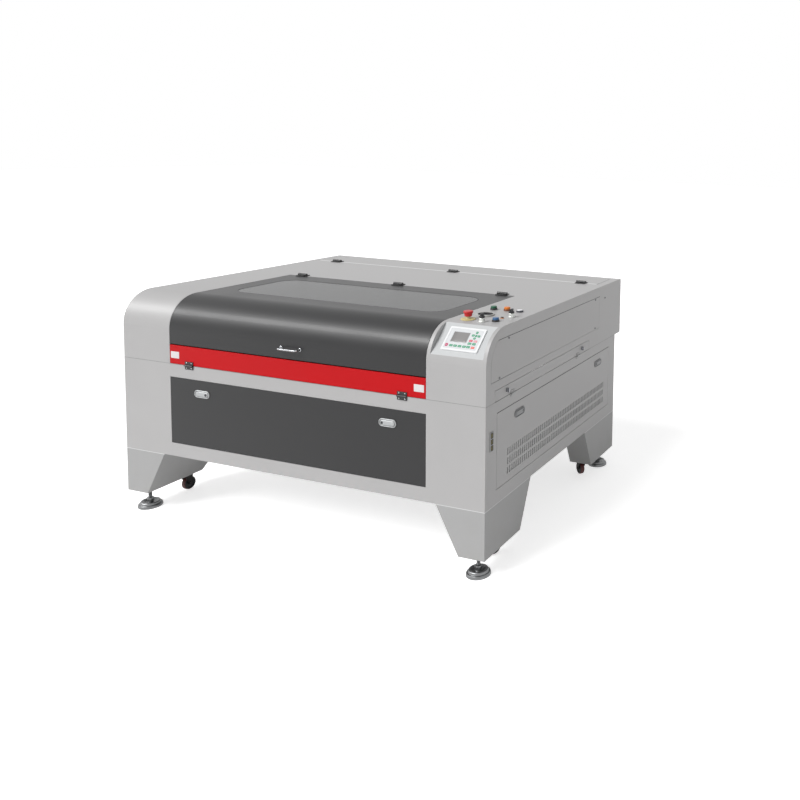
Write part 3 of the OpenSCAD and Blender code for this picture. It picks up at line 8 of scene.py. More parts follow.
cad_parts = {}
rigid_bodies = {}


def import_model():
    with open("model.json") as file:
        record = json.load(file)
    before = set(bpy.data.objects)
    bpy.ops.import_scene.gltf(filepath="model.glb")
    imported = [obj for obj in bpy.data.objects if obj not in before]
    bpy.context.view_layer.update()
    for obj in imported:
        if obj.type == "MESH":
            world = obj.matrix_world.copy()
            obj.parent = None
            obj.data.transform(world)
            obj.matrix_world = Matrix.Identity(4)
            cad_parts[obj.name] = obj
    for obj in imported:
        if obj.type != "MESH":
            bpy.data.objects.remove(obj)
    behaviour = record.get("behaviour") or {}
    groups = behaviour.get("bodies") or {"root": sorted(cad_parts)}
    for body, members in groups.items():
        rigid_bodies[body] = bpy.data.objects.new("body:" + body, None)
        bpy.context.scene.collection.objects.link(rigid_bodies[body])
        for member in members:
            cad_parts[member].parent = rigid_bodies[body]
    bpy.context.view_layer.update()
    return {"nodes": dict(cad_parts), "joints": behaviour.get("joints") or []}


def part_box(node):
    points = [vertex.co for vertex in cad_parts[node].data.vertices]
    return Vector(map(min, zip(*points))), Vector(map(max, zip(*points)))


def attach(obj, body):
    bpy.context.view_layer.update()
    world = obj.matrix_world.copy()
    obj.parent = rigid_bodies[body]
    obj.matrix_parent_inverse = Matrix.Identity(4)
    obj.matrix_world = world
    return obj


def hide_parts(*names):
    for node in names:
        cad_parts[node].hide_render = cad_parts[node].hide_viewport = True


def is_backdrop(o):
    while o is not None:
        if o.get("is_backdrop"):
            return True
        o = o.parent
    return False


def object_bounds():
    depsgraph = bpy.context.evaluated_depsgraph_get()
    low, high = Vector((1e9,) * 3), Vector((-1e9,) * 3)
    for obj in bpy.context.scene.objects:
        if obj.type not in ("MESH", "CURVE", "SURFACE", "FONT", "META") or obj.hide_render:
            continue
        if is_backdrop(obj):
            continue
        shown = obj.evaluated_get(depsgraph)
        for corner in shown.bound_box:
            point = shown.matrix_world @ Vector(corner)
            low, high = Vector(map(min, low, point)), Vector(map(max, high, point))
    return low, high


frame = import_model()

# --------------------------------------
# Sheet-metal body: cabinet, housing, legs, doors and flaps are folded from 2 mm
# steel sheet and powder coated light grey. The coat has a fine orange peel, is a
# little thinner on the folds, where it is also painted paler as a highlight, and
# gathers dust low on the legs.
class Wire:
    """One socket of a material's nodes. A sum written with wires and numbers adds the Math nodes for it."""

    def __init__(self, tree, socket):
        self.tree = tree
        self.socket = socket

    def node(self, kind, settings, inputs, out=0):
        """Adds any node: settings first, then a value or a wire for each input. Gives one output's wire."""
        made = self.tree.nodes.new(kind)
        for key, value in settings.items():
            setattr(made, key, value)
        for key, value in inputs.items():
            if isinstance(value, Wire):
                self.tree.links.new(value.socket, made.inputs[key])
            else:
                made.inputs[key].default_value = value
        return Wire(self.tree, made.outputs[out])

    def sum(self, operation, a, b=0.0):
        """The wire of a Math node with that operation on a and b."""
        return self.node("ShaderNodeMath", {"operation": operation}, {0: a, 1: b})

    def __add__(self, other):
        return self.sum("ADD", self, other)

    __radd__ = __add__

    def __sub__(self, other):
        return self.sum("SUBTRACT", self, other)

    def __rsub__(self, other):
        return self.sum("SUBTRACT", other, self)

    def __mul__(self, other):
        return self.sum("MULTIPLY", self, other)

    __rmul__ = __mul__

    def abs(self):
        return self.sum("ABSOLUTE", self)

    def above(self, low, high):
        """0 below low, 1 above high, smooth between."""
        return self.node("ShaderNodeMapRange", {"interpolation_type": "SMOOTHSTEP"},
                         {"Value": self, "From Min": low, "From Max": high})

    def within(self, low, high, soft=0.0004):
        """1 from low to high, 0 outside, each side soft."""
        return self.above(low - soft, low + soft) * (1.0 - self.above(high - soft, high + soft))

    def between(self, colour_a, colour_b):
        """Colour a where this wire is 0, colour b where it is 1."""
        return self.node("ShaderNodeMix", {"data_type": "RGBA"}, {0: self, 6: colour_a, 7: colour_b}, 2)

    def noise(self, scale, detail=2.0, roughness=0.5):
        """A soft noise from 0 to 1 over this wire's places, scale features to the metre."""
        return self.node("ShaderNodeTexNoise", {}, {"Vector": self, "Scale": scale, "Detail": detail,
                                                     "Roughness": roughness})

    def stretched(self, *scale):
        """These places, each axis times its scale, for a pattern that runs along one axis."""
        return self.node("ShaderNodeMapping", {}, {"Vector": self, "Scale": scale})

    def bump(self, strength, distance, **normal):
        """The surface's normal for a relief of this wire's height, distance metres high where it is 1."""
        return self.node("ShaderNodeBump", {}, {"Strength": strength, "Distance": distance, "Height": self,
                                                **normal})

    def axis(self, name):
        return self.node("ShaderNodeSeparateXYZ", {}, {0: self}, "XYZ".index(name))


def srgb(r, g, b):
    """The linear colour of a paint named by its 0 to 255 values."""
    c = np.array([r, g, b]) / 255.0
    c = np.where(c <= 0.04045, c / 12.92, ((c + 0.055) / 1.055) ** 2.4)
    return (float(c[0]), float(c[1]), float(c[2]), 1.0)


def dimmed(colour, share):
    """The same colour at that share of its brightness."""
    return tuple(c * share for c in colour[:3]) + (1.0,)


def open_finish(name):
    """A new material; gives it, its shader node and the wire of the object's own coordinates."""
    finish = bpy.data.materials.new(name)
    finish.use_nodes = True
    tree = finish.node_tree
    shader = tree.nodes["Principled BSDF"]
    places = tree.nodes.new("ShaderNodeTexCoord")
    return finish, shader, Wire(tree, places.outputs["Object"])


def set_finish(shader, **values):
    """Sets the shader's sockets by name, underscores for spaces: numbers on the socket, wires linked."""
    for key, value in values.items():
        slot = shader.inputs[key.replace("_", " ")]
        if isinstance(value, Wire):
            value.tree.links.new(value.socket, slot)
        else:
            slot.default_value = value


def rounded_fold_mask(places, radius):
    """The normal rounded over radius, and a 0 to 1 mask on the folds: how far it turns from the flat."""
    rounded = places.node("ShaderNodeBevel", {"samples": 4}, {"Radius": radius})
    flat = places.node("ShaderNodeNewGeometry", {}, {}, 1)
    agree = places.node("ShaderNodeVectorMath", {"operation": "DOT_PRODUCT"}, {0: rounded, 1: flat}, 1)
    return rounded, (1.0 - agree).above(0.02, 0.25)


def powder_coat(name, colour, fold_tint, roughness, peel=0.10, dust=0.0, coat=0.0, gloss=0.45, areas=()):
    """Powder coat: orange-peel bump, cloudy shade, thinner on the folds and painted paler there as a
    highlight, and dust below 0.3 m if asked for.
    Each area is a function that gives a mask from the places, and the colour the coat takes there."""
    finish, shader, places = open_finish(name)
    rounded, fold = rounded_fold_mask(places, 0.0016)
    cloud = places.noise(3.0, 3.0).above(0.3, 0.7)
    speck = places.noise(420.0, 1.0)
    shade = cloud * 0.5 + speck * 0.5
    base = shade.between(dimmed(colour, 0.93), colour)
    # the paler fold tint is partly rubbed coat and partly a painted highlight where the rounded fold catches
    # the light
    base = (fold * 0.45).between(base, fold_tint)
    for mask, tint in areas:
        base = mask(places).between(base, tint)
    if dust:
        low = 1.0 - places.axis("Z").above(0.09, 0.30)
        patches = places.noise(14.0, 4.0).above(0.35, 0.8)
        base = (low * patches * dust).between(base, srgb(150, 146, 138))
    set_finish(shader, Base_Color=base, Roughness=roughness + shade * 0.08 + fold * 0.05,
               Normal=places.noise(650.0, 1.5).bump(peel, 0.0004, Normal=rounded), Specular_IOR_Level=gloss,
               Coat_Weight=coat, Coat_Roughness=0.12)
    return finish


def dress(finish, *nodes):
    """Gives CAD nodes that finish."""
    for node in nodes:
        mesh = frame["nodes"][node].data
        mesh.materials.clear()
        mesh.materials.append(finish)


deck_high, deck_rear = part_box("upper_housing")[1].z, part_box("upper_housing")[1].y
seam_high, leg_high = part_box("upper_housing")[0].z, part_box("legs")[1].z
# the second colour is the paler tint on the folds: rubbed coat and a painted highlight
paint, rubbed, paint_rough = srgb(181, 180, 180), srgb(207, 207, 207), 0.42
seam_half = 0.0011
tray_left, tray_right, tray_low, tray_rear = 0.6731, 0.9089, 0.8948, -0.5612


def seam_line(places):
    """The shaded joint between cabinet and housing."""
    return places.axis("Z").within(seam_high - seam_half, seam_high + seam_half) * 0.55


def painted_light_tray(places):
    """The control recess, painted paler as painted light for the light on its slope: between its cheeks, above
    its lower edge and below the deck.
    """
    x, z = places.axis("X"), places.axis("Z")
    inside = x.within(tray_left, tray_right) * z.within(tray_low, deck_high - 0.0012)
    return inside * (1.0 - places.axis("Y").above(tray_rear, tray_rear + 0.001))


def rear_fold_highlight(places):
    """The deck's last 12 mm over the rear fold, painted paler as a highlight where the fold catches the light.
    """
    last = places.axis("Y").above(deck_rear - 0.014, deck_rear - 0.010)
    return last * places.axis("Z").above(deck_high - 0.02, deck_high) * 0.8


def leg_top_highlight(places):
    """The upper edge of the legs, painted as a bright highlight line where the cabinet's bottom flange catches
    the light.
    """
    return places.axis("Z").above(leg_high - 0.0034, leg_high - 0.0026) * 0.7


def edge_shade(node, upper, lower, ends):
    """The shaded joint round a sheet of the side wall, 2 mm wide: its strength at the upper edge, at the
    lower edge, where it fades towards the rear, and at the two ends."""
    low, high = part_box(node)

    def mask(places):
        y, z = places.axis("Y"), places.axis("Z")
        fade = 1.0 - y.above(low.y, (low.y + high.y) / 2) * 0.8
        top = z.above(high.z - 0.0030, high.z - 0.0020)
        foot = 1.0 - z.above(low.z + 0.0016, low.z + 0.0024)
        sides = 1.0 - y.within(low.y + 0.002, high.y - 0.002)
        return top * upper + foot * fade * lower + sides * ends

    return mask


joint_dark, seam_dark = srgb(60, 61, 62), srgb(96, 97, 98)
light_grey = powder_coat("light grey powder coat", paint, rubbed, paint_rough, dust=0.25)
dress(light_grey, "side_flap_right", "side_flap_left", "rear_flap")
for node, shades in (("side_panels_upper", (0.8, 0.8, 0.25)), ("side_door", (0.7, 0.25, 0.15))):
    shaded = [(edge_shade(node, *shades), joint_dark)]
    dress(powder_coat(node + " powder coat", paint, rubbed, paint_rough, areas=shaded), node)
dress(powder_coat("cabinet powder coat", paint, rubbed, paint_rough, areas=[(seam_line, seam_dark)]),
      "lower_cabinet")
# paler tray and rear fold: painted light on the slope and a painted highlight on the fold; the seam is shaded
shaded = [(painted_light_tray, srgb(193, 195, 196)), (rear_fold_highlight, srgb(222, 223, 223)), (seam_line, seam_dark)]
dress(powder_coat("housing powder coat", paint, rubbed, paint_rough, areas=shaded), "upper_housing")
# the paler leg top is a painted highlight line
dress(powder_coat("leg powder coat", srgb(170, 170, 170), rubbed, 0.44, dust=0.2,
                  areas=[(leg_top_highlight, srgb(226, 227, 227))]), "legs")

# --------------------------------------
# Dark doors: the curved lid and the lower front door are the same folded sheet,
# coated dark graphite with a satin clear coat that draws the light along the curve.
graphite = powder_coat("graphite powder coat", srgb(42, 42, 43), srgb(88, 88, 90), 0.38, peel=0.05, coat=0.08,
                       gloss=0.30)
dress(graphite, "lid", "front_door")

# --------------------------------------
# Front pass-through flap: a thin folded sheet below the lid, powder coated signal
# red, hinged at its lower edge to let long stock through.
# the paler fold tint draws a painted highlight along the flap's top edge
signal_red = powder_coat("signal red powder coat", srgb(197, 8, 18), srgb(214, 52, 58), 0.42, peel=0.05,
                         gloss=0.16)
dress(signal_red, "front_flap")

# --------------------------------------
# Window: tinted acrylic sheet let into the lid, a little wavy from its rolling and
# with fine scratches from wiping. A thin black rubber seal runs round its opening;
# its dark line also stands in for the shade at the opening's edge.
window_sheet, shader, places = open_finish("tinted window sheet")
wave = places.noise(2.2, 1.0)
hair = places.stretched(60.0, 900.0, 1.0).noise(1.0, 3.0).above(0.62, 0.8)
base = (wave * 0.5 + hair * 0.1).between(srgb(50, 51, 52), srgb(66, 67, 68))
set_finish(shader, Base_Color=base, Roughness=0.22 + hair * 0.2 + wave * 0.05, Alpha=0.93, IOR=1.49,
           Normal=(wave + hair * 0.02).bump(0.05, 0.002), Specular_IOR_Level=0.35)
dress(window_sheet, "lid_window")

seal_and_shade_black, shader, places = open_finish("window seal rubber")
grain = places.noise(700.0, 2.0)
set_finish(shader, Base_Color=grain.between(srgb(30, 30, 31), srgb(44, 44, 45)),
           Roughness=0.55 + grain * 0.15, Normal=grain.bump(0.1, 0.0002))


def stacked(half_a, half_b, corner, levels, centre, basis=np.eye(3), points=8):
    """A pressed or cast shape: each row is a rounded rectangle, drawn in by its level's inset and set at its
    height. The rectangle is four quarter circles of radius corner minus inset, about its corners' middles."""
    levels = np.asarray(levels, float)
    turn = (np.linspace(0, np.pi / 2, points)[None, :] + np.arange(4)[:, None] * np.pi / 2).ravel()[None, :]
    side_a, side_b = np.repeat([1, -1, -1, 1], points)[None, :], np.repeat([1, 1, -1, -1], points)[None, :]
    inset, height = levels[:, :1], np.repeat(levels[:, 1:], 4 * points, 1)
    a, b = np.maximum(half_a - inset, 0), np.maximum(half_b - inset, 0)
    r = np.minimum(np.maximum(corner - inset, 0), np.minimum(a, b))
    grid = np.stack([side_a * (a - r) + r * np.cos(turn), side_b * (b - r) + r * np.sin(turn), height], -1)
    return grid @ np.asarray(basis) + np.asarray(centre)


def eased(outline, radius, steps=4):
    """An outline with its corners eased: each inner corner gives way to the quadratic curve between the two
    places that lie radius before and after it, or under half a side where the side is short."""
    p = np.asarray(outline, float)
    sides = np.stack([p[:-2] - p[1:-1], p[2:] - p[1:-1]])
    length = np.maximum(np.linalg.norm(sides, axis=2, keepdims=True), 1e-9)
    start, end = p[1:-1] + sides * np.minimum(radius / length, 0.45)
    t = np.linspace(0.0, 1.0, steps + 1)[None, :, None]
    curve = (1 - t) ** 2 * start[:, None] + 2 * t * (1 - t) * p[1:-1][:, None] + t ** 2 * end[:, None]
    return np.concatenate([p[:1], curve.reshape(-1, 2), p[-1:]])


sharp_from, same_place = math.radians(38.0), 3e-6


def make_piece(name, body, shells, replaced):
    """One piece from closed shells, each a grid (rows, points round a row, xyz) with its finish. A row joins
    the next in a tube closed round, and a row drawn together to a point closes the end; then doubles are
    merged and the normals turned outward. It rides on a body and takes the place of the CAD nodes replaced."""
    points, faces, marks, finishes, first = [], [], [], [], 0
    for grid, finish in shells:
        rows, cols = grid.shape[:2]
        r, c = np.arange(rows - 1)[:, None] * cols, np.arange(cols)[None, :]
        n = (c + 1) % cols
        quads = np.stack([r + c, r + n, r + n + cols, r + c + cols], -1).reshape(-1, 4) + first
        if finish not in finishes:
            finishes.append(finish)
        points.append(grid.reshape(-1, 3))
        faces.append(quads)
        marks.append(np.full(len(quads), finishes.index(finish)))
        first += rows * cols
    points, faces, marks = np.concatenate(points), np.concatenate(faces), np.concatenate(marks)
    mesh = bpy.data.meshes.new(name)
    mesh.vertices.add(len(points))
    mesh.vertices.foreach_set("co", points.astype(np.float32).ravel())
    mesh.loops.add(faces.size)
    mesh.loops.foreach_set("vertex_index", faces.astype(np.int32).ravel())
    mesh.polygons.add(len(faces))
    mesh.polygons.foreach_set("loop_start", np.arange(0, faces.size, 4, dtype=np.int32))
    for finish in finishes:
        mesh.materials.append(finish)
    mesh.polygons.foreach_set("material_index", marks.astype(np.int32))
    mesh.update(calc_edges=True)
    work = bmesh.new()
    work.from_mesh(mesh)
    bmesh.ops.remove_doubles(work, verts=work.verts, dist=same_place)
    bmesh.ops.recalc_face_normals(work, faces=work.faces)
    work.to_mesh(mesh)
    work.free()
    mesh.shade_smooth()
    mesh.set_sharp_from_angle(angle=sharp_from)
    piece = bpy.data.objects.new(name, mesh)
    bpy.context.scene.collection.objects.link(piece)
    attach(piece, body)
    if replaced:
        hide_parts(*replaced)


# the pane's rim lies under the shell, so the opening is the box less the rim
pane_rim, window_corner = 0.015, 0.080
low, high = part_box("lid_window")
seal = eased([(-0.0008, 0.0), (-0.0008, 0.0003), (0.0016, 0.0003), (0.0016, -0.0003), (-0.0002, -0.0003),
              (-0.0008, 0.0)], 0.0002, 2)
# the black seal ring also paints the shade at the opening's edge
make_piece("window_seal", "lid_body",
           [(stacked((high.x - low.x) / 2 - pane_rim, (high.y - low.y) / 2 - pane_rim, window_corner, seal,
                     (0.0, (low.y + high.y) / 2, deck_high), points=16), seal_and_shade_black)], ())

# --------------------------------------
# Rear cover: a flat painted sheet over the laser tube, hinged at its front edge,
# which is folded and painted pale as a highlight where it catches the light. A
# thin painted shade darkens its right end at the seam.
cover_low, cover_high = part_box("rear_cover")


def cover_fold_highlight(places):
    """The cover's front 12 mm, painted paler as a highlight on the fold."""
    return (1.0 - places.axis("Y").above(cover_low.y + 0.010, cover_low.y + 0.014)) * 0.9


def cover_end(places):
    """The cover's right 4 mm, in the shade of the seam."""
    return places.axis("X").above(cover_high.x - 0.005, cover_high.x - 0.004) * 0.8


shaded = [(cover_fold_highlight, srgb(226, 227, 227)), (cover_end, srgb(120, 121, 122))]
dress(powder_coat("cover powder coat", paint, rubbed, paint_rough, areas=shaded), "rear_cover")

# --------------------------------------
# Flap plates: two blank white plastic plates at the ends of the red flap, 0.6 mm
# thick with an eased edge, stuck on.
def moulded(name, colour, roughness, grain=0.1, deep=0.85, gloss=0.5):
    """Moulded plastic: fine spark-eroded grain, a soft shade change and slightly lighter rubbed edges."""
    finish, shader, places = open_finish(name)
    rounded, fold = rounded_fold_mask(places, 0.0008)
    cloud = places.noise(60.0, 3.0)
    rubbed = tuple(min(1.0, c * 1.15 + 0.02) for c in colour[:3]) + (1.0,)
    base = (fold * 0.5).between(cloud.between(dimmed(colour, deep), colour), rubbed)
    set_finish(shader, Base_Color=base, Roughness=roughness + cloud * 0.1 - fold * 0.05,
               Normal=places.noise(2600.0, 1.0).bump(grain, 0.0002, Normal=rounded), Specular_IOR_Level=gloss)
    return finish


# the directions along, up and out of a piece on the front, and of one on the right side
out_front = np.array([(1.0, 0, 0), (0, 0, 1.0), (0, -1.0, 0)])
out_right = np.array([(0, 1.0, 0), (0, 0, 1.0), (1.0, 0, 0)])
plate_white = moulded("plate white", srgb(226, 222, 222), 0.42, grain=0.03, deep=0.96)
low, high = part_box("front_flap")
plate_half, plate_tall, plate_corner, plate_up = 0.0235, 0.0150, 0.0020, 0.0395
plate = eased([(plate_tall, 0.0), (0.0, 0.0), (0.0, 0.0004), (0.0003, 0.0006), (plate_tall, 0.0006)],
              0.0002, 2)
make_piece("flap_plates", "front_flap_body",
           [(stacked(plate_half, plate_tall, plate_corner, plate, (x, low.y, low.z + plate_up), out_front),
             plate_white) for x in (low.x + 0.0285, high.x - 0.0310)], ())

# --------------------------------------
# Filter mat: pale fleece, cut from a felted sheet, which closes the vent slots of
# the side door from behind and rides on the door.
fleece, shader, places = open_finish("filter fleece")
fibre = places.stretched(1.0, 0.35, 1.0).noise(1400.0, 4.0, 0.7)
set_finish(shader, Base_Color=fibre.between(srgb(230, 231, 231), srgb(247, 247, 247)),
           Roughness=0.85 + fibre * 0.1, Normal=fibre.bump(0.6, 0.0008))
low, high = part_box("side_door")
mat_half, mat_tall, mat_corner = 0.501, 0.060, 0.004
mat_middle = (high.x - 0.003, low.y + 0.5745, low.z + 0.0875)
mat = eased([(0.058, -0.0055), (0.0, -0.0055), (0.0, -0.0002), (0.0030, -0.0002), (0.0045, -0.0012),
             (0.058, -0.0012)], 0.0006, 3)
make_piece("vent_filter_mat", "side_door_body",
           [(stacked(mat_half, mat_tall, mat_corner, mat, mat_middle, out_right), fleece)],
           ())

# --------------------------------------
# Hinges: stamped steel leaves in black e-coat, screwed on, with bare-metal rub
# marks round the knuckles. The leaves on the side walls are painted grey.
black_steel, shader, places = open_finish("black hinge steel")
rounded, fold = rounded_fold_mask(places, 0.0008)
rub = places.noise(260.0, 4.0).above(0.55, 0.75) * fold
base = rub.between(srgb(26, 26, 27), srgb(110, 110, 112))
side_leaf = places.axis("X").abs().above(0.917, 0.919)
base = side_leaf.between(base, srgb(172, 173, 173))
set_finish(shader, Base_Color=base, Roughness=0.42 - rub * 0.15, Metallic=rub * 0.8,
           Normal=places.noise(1500.0, 2.0).bump(0.15, 0.0003, Normal=rounded))
dress(black_steel, "hinge_leaves_fixed", "lid_hinge_leaves", "front_flap_leaves", "rear_cover_leaves")

# --------------------------------------
# Levelling feet: turned and zinc plated steel, a stepped dish with a hexagon nut
# and a thread rolled on the stem, which screws up into the leg.
def plated_steel(name, colour, roughness):
    """Zinc plating: cloudy grey metal with fine turning marks in rings about the height."""
    finish, shader, places = open_finish(name)
    rounded, fold = rounded_fold_mask(places, 0.0008)
    cloud = places.noise(45.0, 4.0).above(0.3, 0.7)
    marks = places.stretched(1.0, 1.0, 900.0).noise(1.0, 2.0)
    base = (cloud * 0.6 + marks * 0.25).between(colour, dimmed(colour, 0.72))
    set_finish(shader, Base_Color=base, Metallic=0.95, Normal=marks.bump(0.12, 0.0002, Normal=rounded),
               Roughness=roughness + cloud * 0.12 + marks * 0.08 - fold * 0.06)
    return finish


def turned(outline, centre, basis=np.eye(3), points=48, across_flats=0.0):
    """A turned shape: row by row a circle of the outline's radius at the outline's height. With across_flats
    the radius is at most that of a hexagon of that width, so a chamfered cone makes a nut."""
    outline = np.asarray(outline, float)
    turn = np.linspace(0.0, 2 * np.pi, points, endpoint=False)[None, :]
    radius = np.repeat(outline[:, :1], points, 1)
    if across_flats:
        radius = np.minimum(radius, across_flats / 2 / np.cos((turn + np.pi / 6) % (np.pi / 3) - np.pi / 6))
    height = np.repeat(outline[:, 1:], points, 1)
    grid = np.stack([radius * np.cos(turn), radius * np.sin(turn), height], -1)
    return grid @ np.asarray(basis) + np.asarray(centre)


def middle(node):
    """The middle of a CAD node's box."""
    low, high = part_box(node)
    return (np.array(low) + np.array(high)) / 2


foot_steel = plated_steel("plated foot steel", srgb(128, 129, 130), 0.27)
dish = eased([(0, 0), (0.0492, 0), (0.0500, 0.0012), (0.0494, 0.0070), (0.0474, 0.0126), (0.0456, 0.0136),
              (0.0424, 0.0140), (0.0414, 0.0150), (0.0400, 0.0212), (0.0380, 0.0238), (0.0362, 0.0240),
              (0.0332, 0.0240), (0.0320, 0.0228), (0.0196, 0.0162), (0.0124, 0.0162), (0.0118, 0.0258),
              (0, 0.0258)], 0.0009)
nut = [(0, 0.0262), (0.0138, 0.0262), (0.0156, 0.0272), (0.0156, 0.0382), (0.0138, 0.0392), (0, 0.0392)]
nut_flats = 0.027
# the thread's radius drops from the crest by the groove and back once a pitch, and it climbs a pitch a turn
thread_low, pitch, crest, groove, thread_points = 0.034, 0.002, 0.0075, 0.0011, 20
turn = np.linspace(0, 2 * np.pi, thread_points, endpoint=False)
for corner in ("front_right", "front_left", "rear_right", "rear_left"):
    node = "foot_" + corner
    low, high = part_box(node)
    x, y, z, tall = *middle(node)[:2], low.z, high.z - low.z
    rise = np.linspace(thread_low, tall, int((tall - thread_low) / pitch * 8))
    rise = np.concatenate([[thread_low], rise, [tall]])
    phase = (rise[:, None] / pitch - turn[None, :] / (2 * np.pi)) % 1.0
    radius = crest - groove * (2 * np.abs(phase - 0.5))
    radius[[0, -1]] = 0.0
    thread = np.stack([radius * np.cos(turn) + x, radius * np.sin(turn) + y,
                       np.repeat(rise[:, None], thread_points, 1) + z], -1)
    make_piece("levelling_" + node, node + "_body",
               [(turned(dish, (x, y, z), points=72), foot_steel),
                (turned(nut, (x, y, z), points=48, across_flats=nut_flats), foot_steel),
                (thread, foot_steel)], [node])

# --------------------------------------
# Castors: pressed steel forks coated black, and dark red-brown polyurethane tyres
# moulded on a black plastic hub with a sunk web. A plated axle nut holds each side.
fork_black = moulded("fork black coat", srgb(24, 21, 21), 0.55, gloss=0.25)
dress(fork_black, "caster_plates", "caster_fork_front_right", "caster_fork_front_left",
      "caster_fork_rear_right", "caster_fork_rear_left")
tread_brown, shader, places = open_finish("castor tread")
scuff = places.noise(180.0, 4.0).above(0.5, 0.8)
set_finish(shader, Base_Color=scuff.between(srgb(80, 28, 27), srgb(104, 60, 56)),
           Roughness=0.5 + scuff * 0.3, Normal=scuff.bump(0.2, 0.0004))
tyre = eased([(0.0280, -0.0098), (0.0290, -0.0104), (0.0302, -0.0092), (0.0309, -0.0060), (0.0309, 0.0060),
              (0.0302, 0.0092), (0.0290, 0.0104), (0.0280, 0.0098), (0.0270, 0.0), (0.0280, -0.0098)], 0.0012)
hub = eased([(0, -0.0095), (0.0085, -0.0095), (0.0095, -0.0070), (0.0215, -0.0070), (0.0235, -0.0112),
             (0.0285, -0.0108), (0.0285, 0.0108), (0.0235, 0.0112), (0.0215, 0.0070), (0.0095, 0.0070),
             (0.0085, 0.0095), (0, 0.0095)], 0.0010)
hub_black = moulded("castor hub black", srgb(26, 29, 31), 0.42, gloss=0.3)
axle_nut = [(0, 0), (0.0072, 0), (0.0078, 0.0008), (0.0078, 0.003), (0.006, 0.0036), (0, 0.0038)]
nut_seat, nut_flats = 0.0150, 0.0136
for joint in frame["joints"]:
    if joint["name"].endswith("_roll"):
        wheel, fork = joint["child"].replace("_body", ""), joint["parent"].replace("_body", "")
        along = np.array(joint["axis"], float)
        basis = np.array([(-along[1], along[0], 0.0), (0.0, 0.0, 1.0), along])
        make_piece(wheel.replace("caster", "castor"), joint["child"],
                   [(turned(tyre, middle(wheel), basis, 56), tread_brown),
                    (turned(hub, middle(wheel), basis, 56), hub_black)], [wheel])
        nuts = [(turned(axle_nut, middle(wheel) + s * nut_seat * along, basis * s, 36, nut_flats), foot_steel)
                for s in (1, -1)]
        make_piece(fork.replace("caster", "castor") + "_nuts", joint["parent"], nuts, ())

# --------------------------------------
# Door latches: die-cast zinc capsules with a hollow behind a swinging paddle; the
# paddle carries a dark lock barrel at its free end and a small pin at the other.
def satin_cast(name, colour, roughness):
    """Painted die casting: faint flow marks, fine grain and paler rubbed edges."""
    finish, shader, places = open_finish(name)
    rounded, fold = rounded_fold_mask(places, 0.0010)
    flow = places.noise(70.0, 3.0)
    base = (fold * 0.5).between(flow.between(dimmed(colour, 0.9), colour), srgb(226, 227, 228))
    set_finish(shader, Base_Color=base, Metallic=0.35, Roughness=roughness + flow * 0.1,
               Normal=places.noise(1800.0, 1.0).bump(0.1, 0.0002, Normal=rounded))
    return finish


cast_grey = satin_cast("latch casting grey", srgb(178, 180, 181), 0.36)
# the side latches take a darker copy of the same casting, a painted shade for the shaded side wall
cast_grey_shaded = satin_cast("latch casting dull grey", srgb(132, 133, 134), 0.40)
lock_dark = satin_cast("lock barrel dark", srgb(52, 53, 56), 0.30)
case_half, case_tall, paddle_half, paddle_tall = 0.0415, 0.0168, 0.0346, 0.0107
barrel_off, pin_off, key_half = 0.024, 0.022, 0.0006
case = eased([(case_tall, -0.0178), (0.0044, -0.0178), (0.0044, -0.0002), (0.0004, -0.0002), (0.0, 0.0006),
              (0.0, 0.0022), (0.0016, 0.0040), (0.0036, 0.0040), (0.0044, 0.0030), (0.0064, -0.0156),
              (case_tall, -0.0156)], 0.0008, 3)
paddle = eased([(paddle_tall, 0.0002), (0.0004, 0.0002), (0.0, 0.0008), (0.0, 0.0032), (0.0022, 0.0049),
                (paddle_tall, 0.0054)], 0.0012, 3)
barrel = eased([(0, 0.0045), (0.0062, 0.0045), (0.0062, 0.0056), (0.0052, 0.0060), (0.0046, 0.0055),
                (0.0040, 0.0055), (0.0036, 0.0059), (0, 0.0059)], 0.0003, 2)
key = [(key_half, 0.0058), (0.0, 0.0058), (0.0, 0.00605), (key_half, 0.00605)]
pin = eased([(0, 0.0045), (0.0030, 0.0045), (0.0030, 0.0055), (0.0014, 0.0058), (0, 0.0058)], 0.0004, 2)
front_pair, side_pair = ("front_paddle_right", "front_paddle_left"), ("side_paddle_front", "side_paddle_rear")
for paddles, case_node, door, basis, cast in (
        (front_pair, "front_latch_cases", "front_door", out_front, cast_grey),
        (side_pair, "side_latch_cases", "side_door", out_right, cast_grey_shaded)):
    low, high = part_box(door)
    cases, halfway = [], (middle(paddles[0]) + middle(paddles[1])) / 2
    for node in paddles:
        place = middle(node)
        inward = -np.sign((place - halfway) @ basis[0]) * basis[0]
        if door == "front_door":
            place[1] = low.y
        else:
            place[0] = high.x
        lock = place + inward * barrel_off
        cases.append((stacked(case_half, case_tall, case_tall, case, place, basis), cast))
        make_piece(node.replace("paddle", "latch_paddle"), node + "_body",
                   [(stacked(paddle_half, paddle_tall, paddle_tall, paddle, place, basis), cast),
                    (turned(barrel, lock, basis, 32), lock_dark),
                    (stacked(0.0030, key_half, key_half, key, lock, basis, 3), black_steel),
                    (turned(pin, place - inward * pin_off, basis, 24), cast)], [node])
    make_piece(case_node.replace("cases", "castings"), door + "_body", cases, [case_node])

# --------------------------------------
# Lid handle: a bright chromed bar, bent back to the lid at both ends and fixed on
# turned rosettes; a dark collar sits on the right one only, a dark piece that
# stands in for the shade and dark reflection seen there.
chrome = plated_steel("bright chrome", srgb(168, 170, 173), 0.10)
low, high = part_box("lid_handle")
bar, bend, post, mid_z = 0.0037, 0.020, high.x - 0.008, (low.z + high.z) / 2
right_half = eased([(post, high.y - 0.001), (post, low.y + bar), (0.0, low.y + bar)], bend, 14)
path = np.concatenate([right_half, right_half[-2::-1] * (-1, 1)])
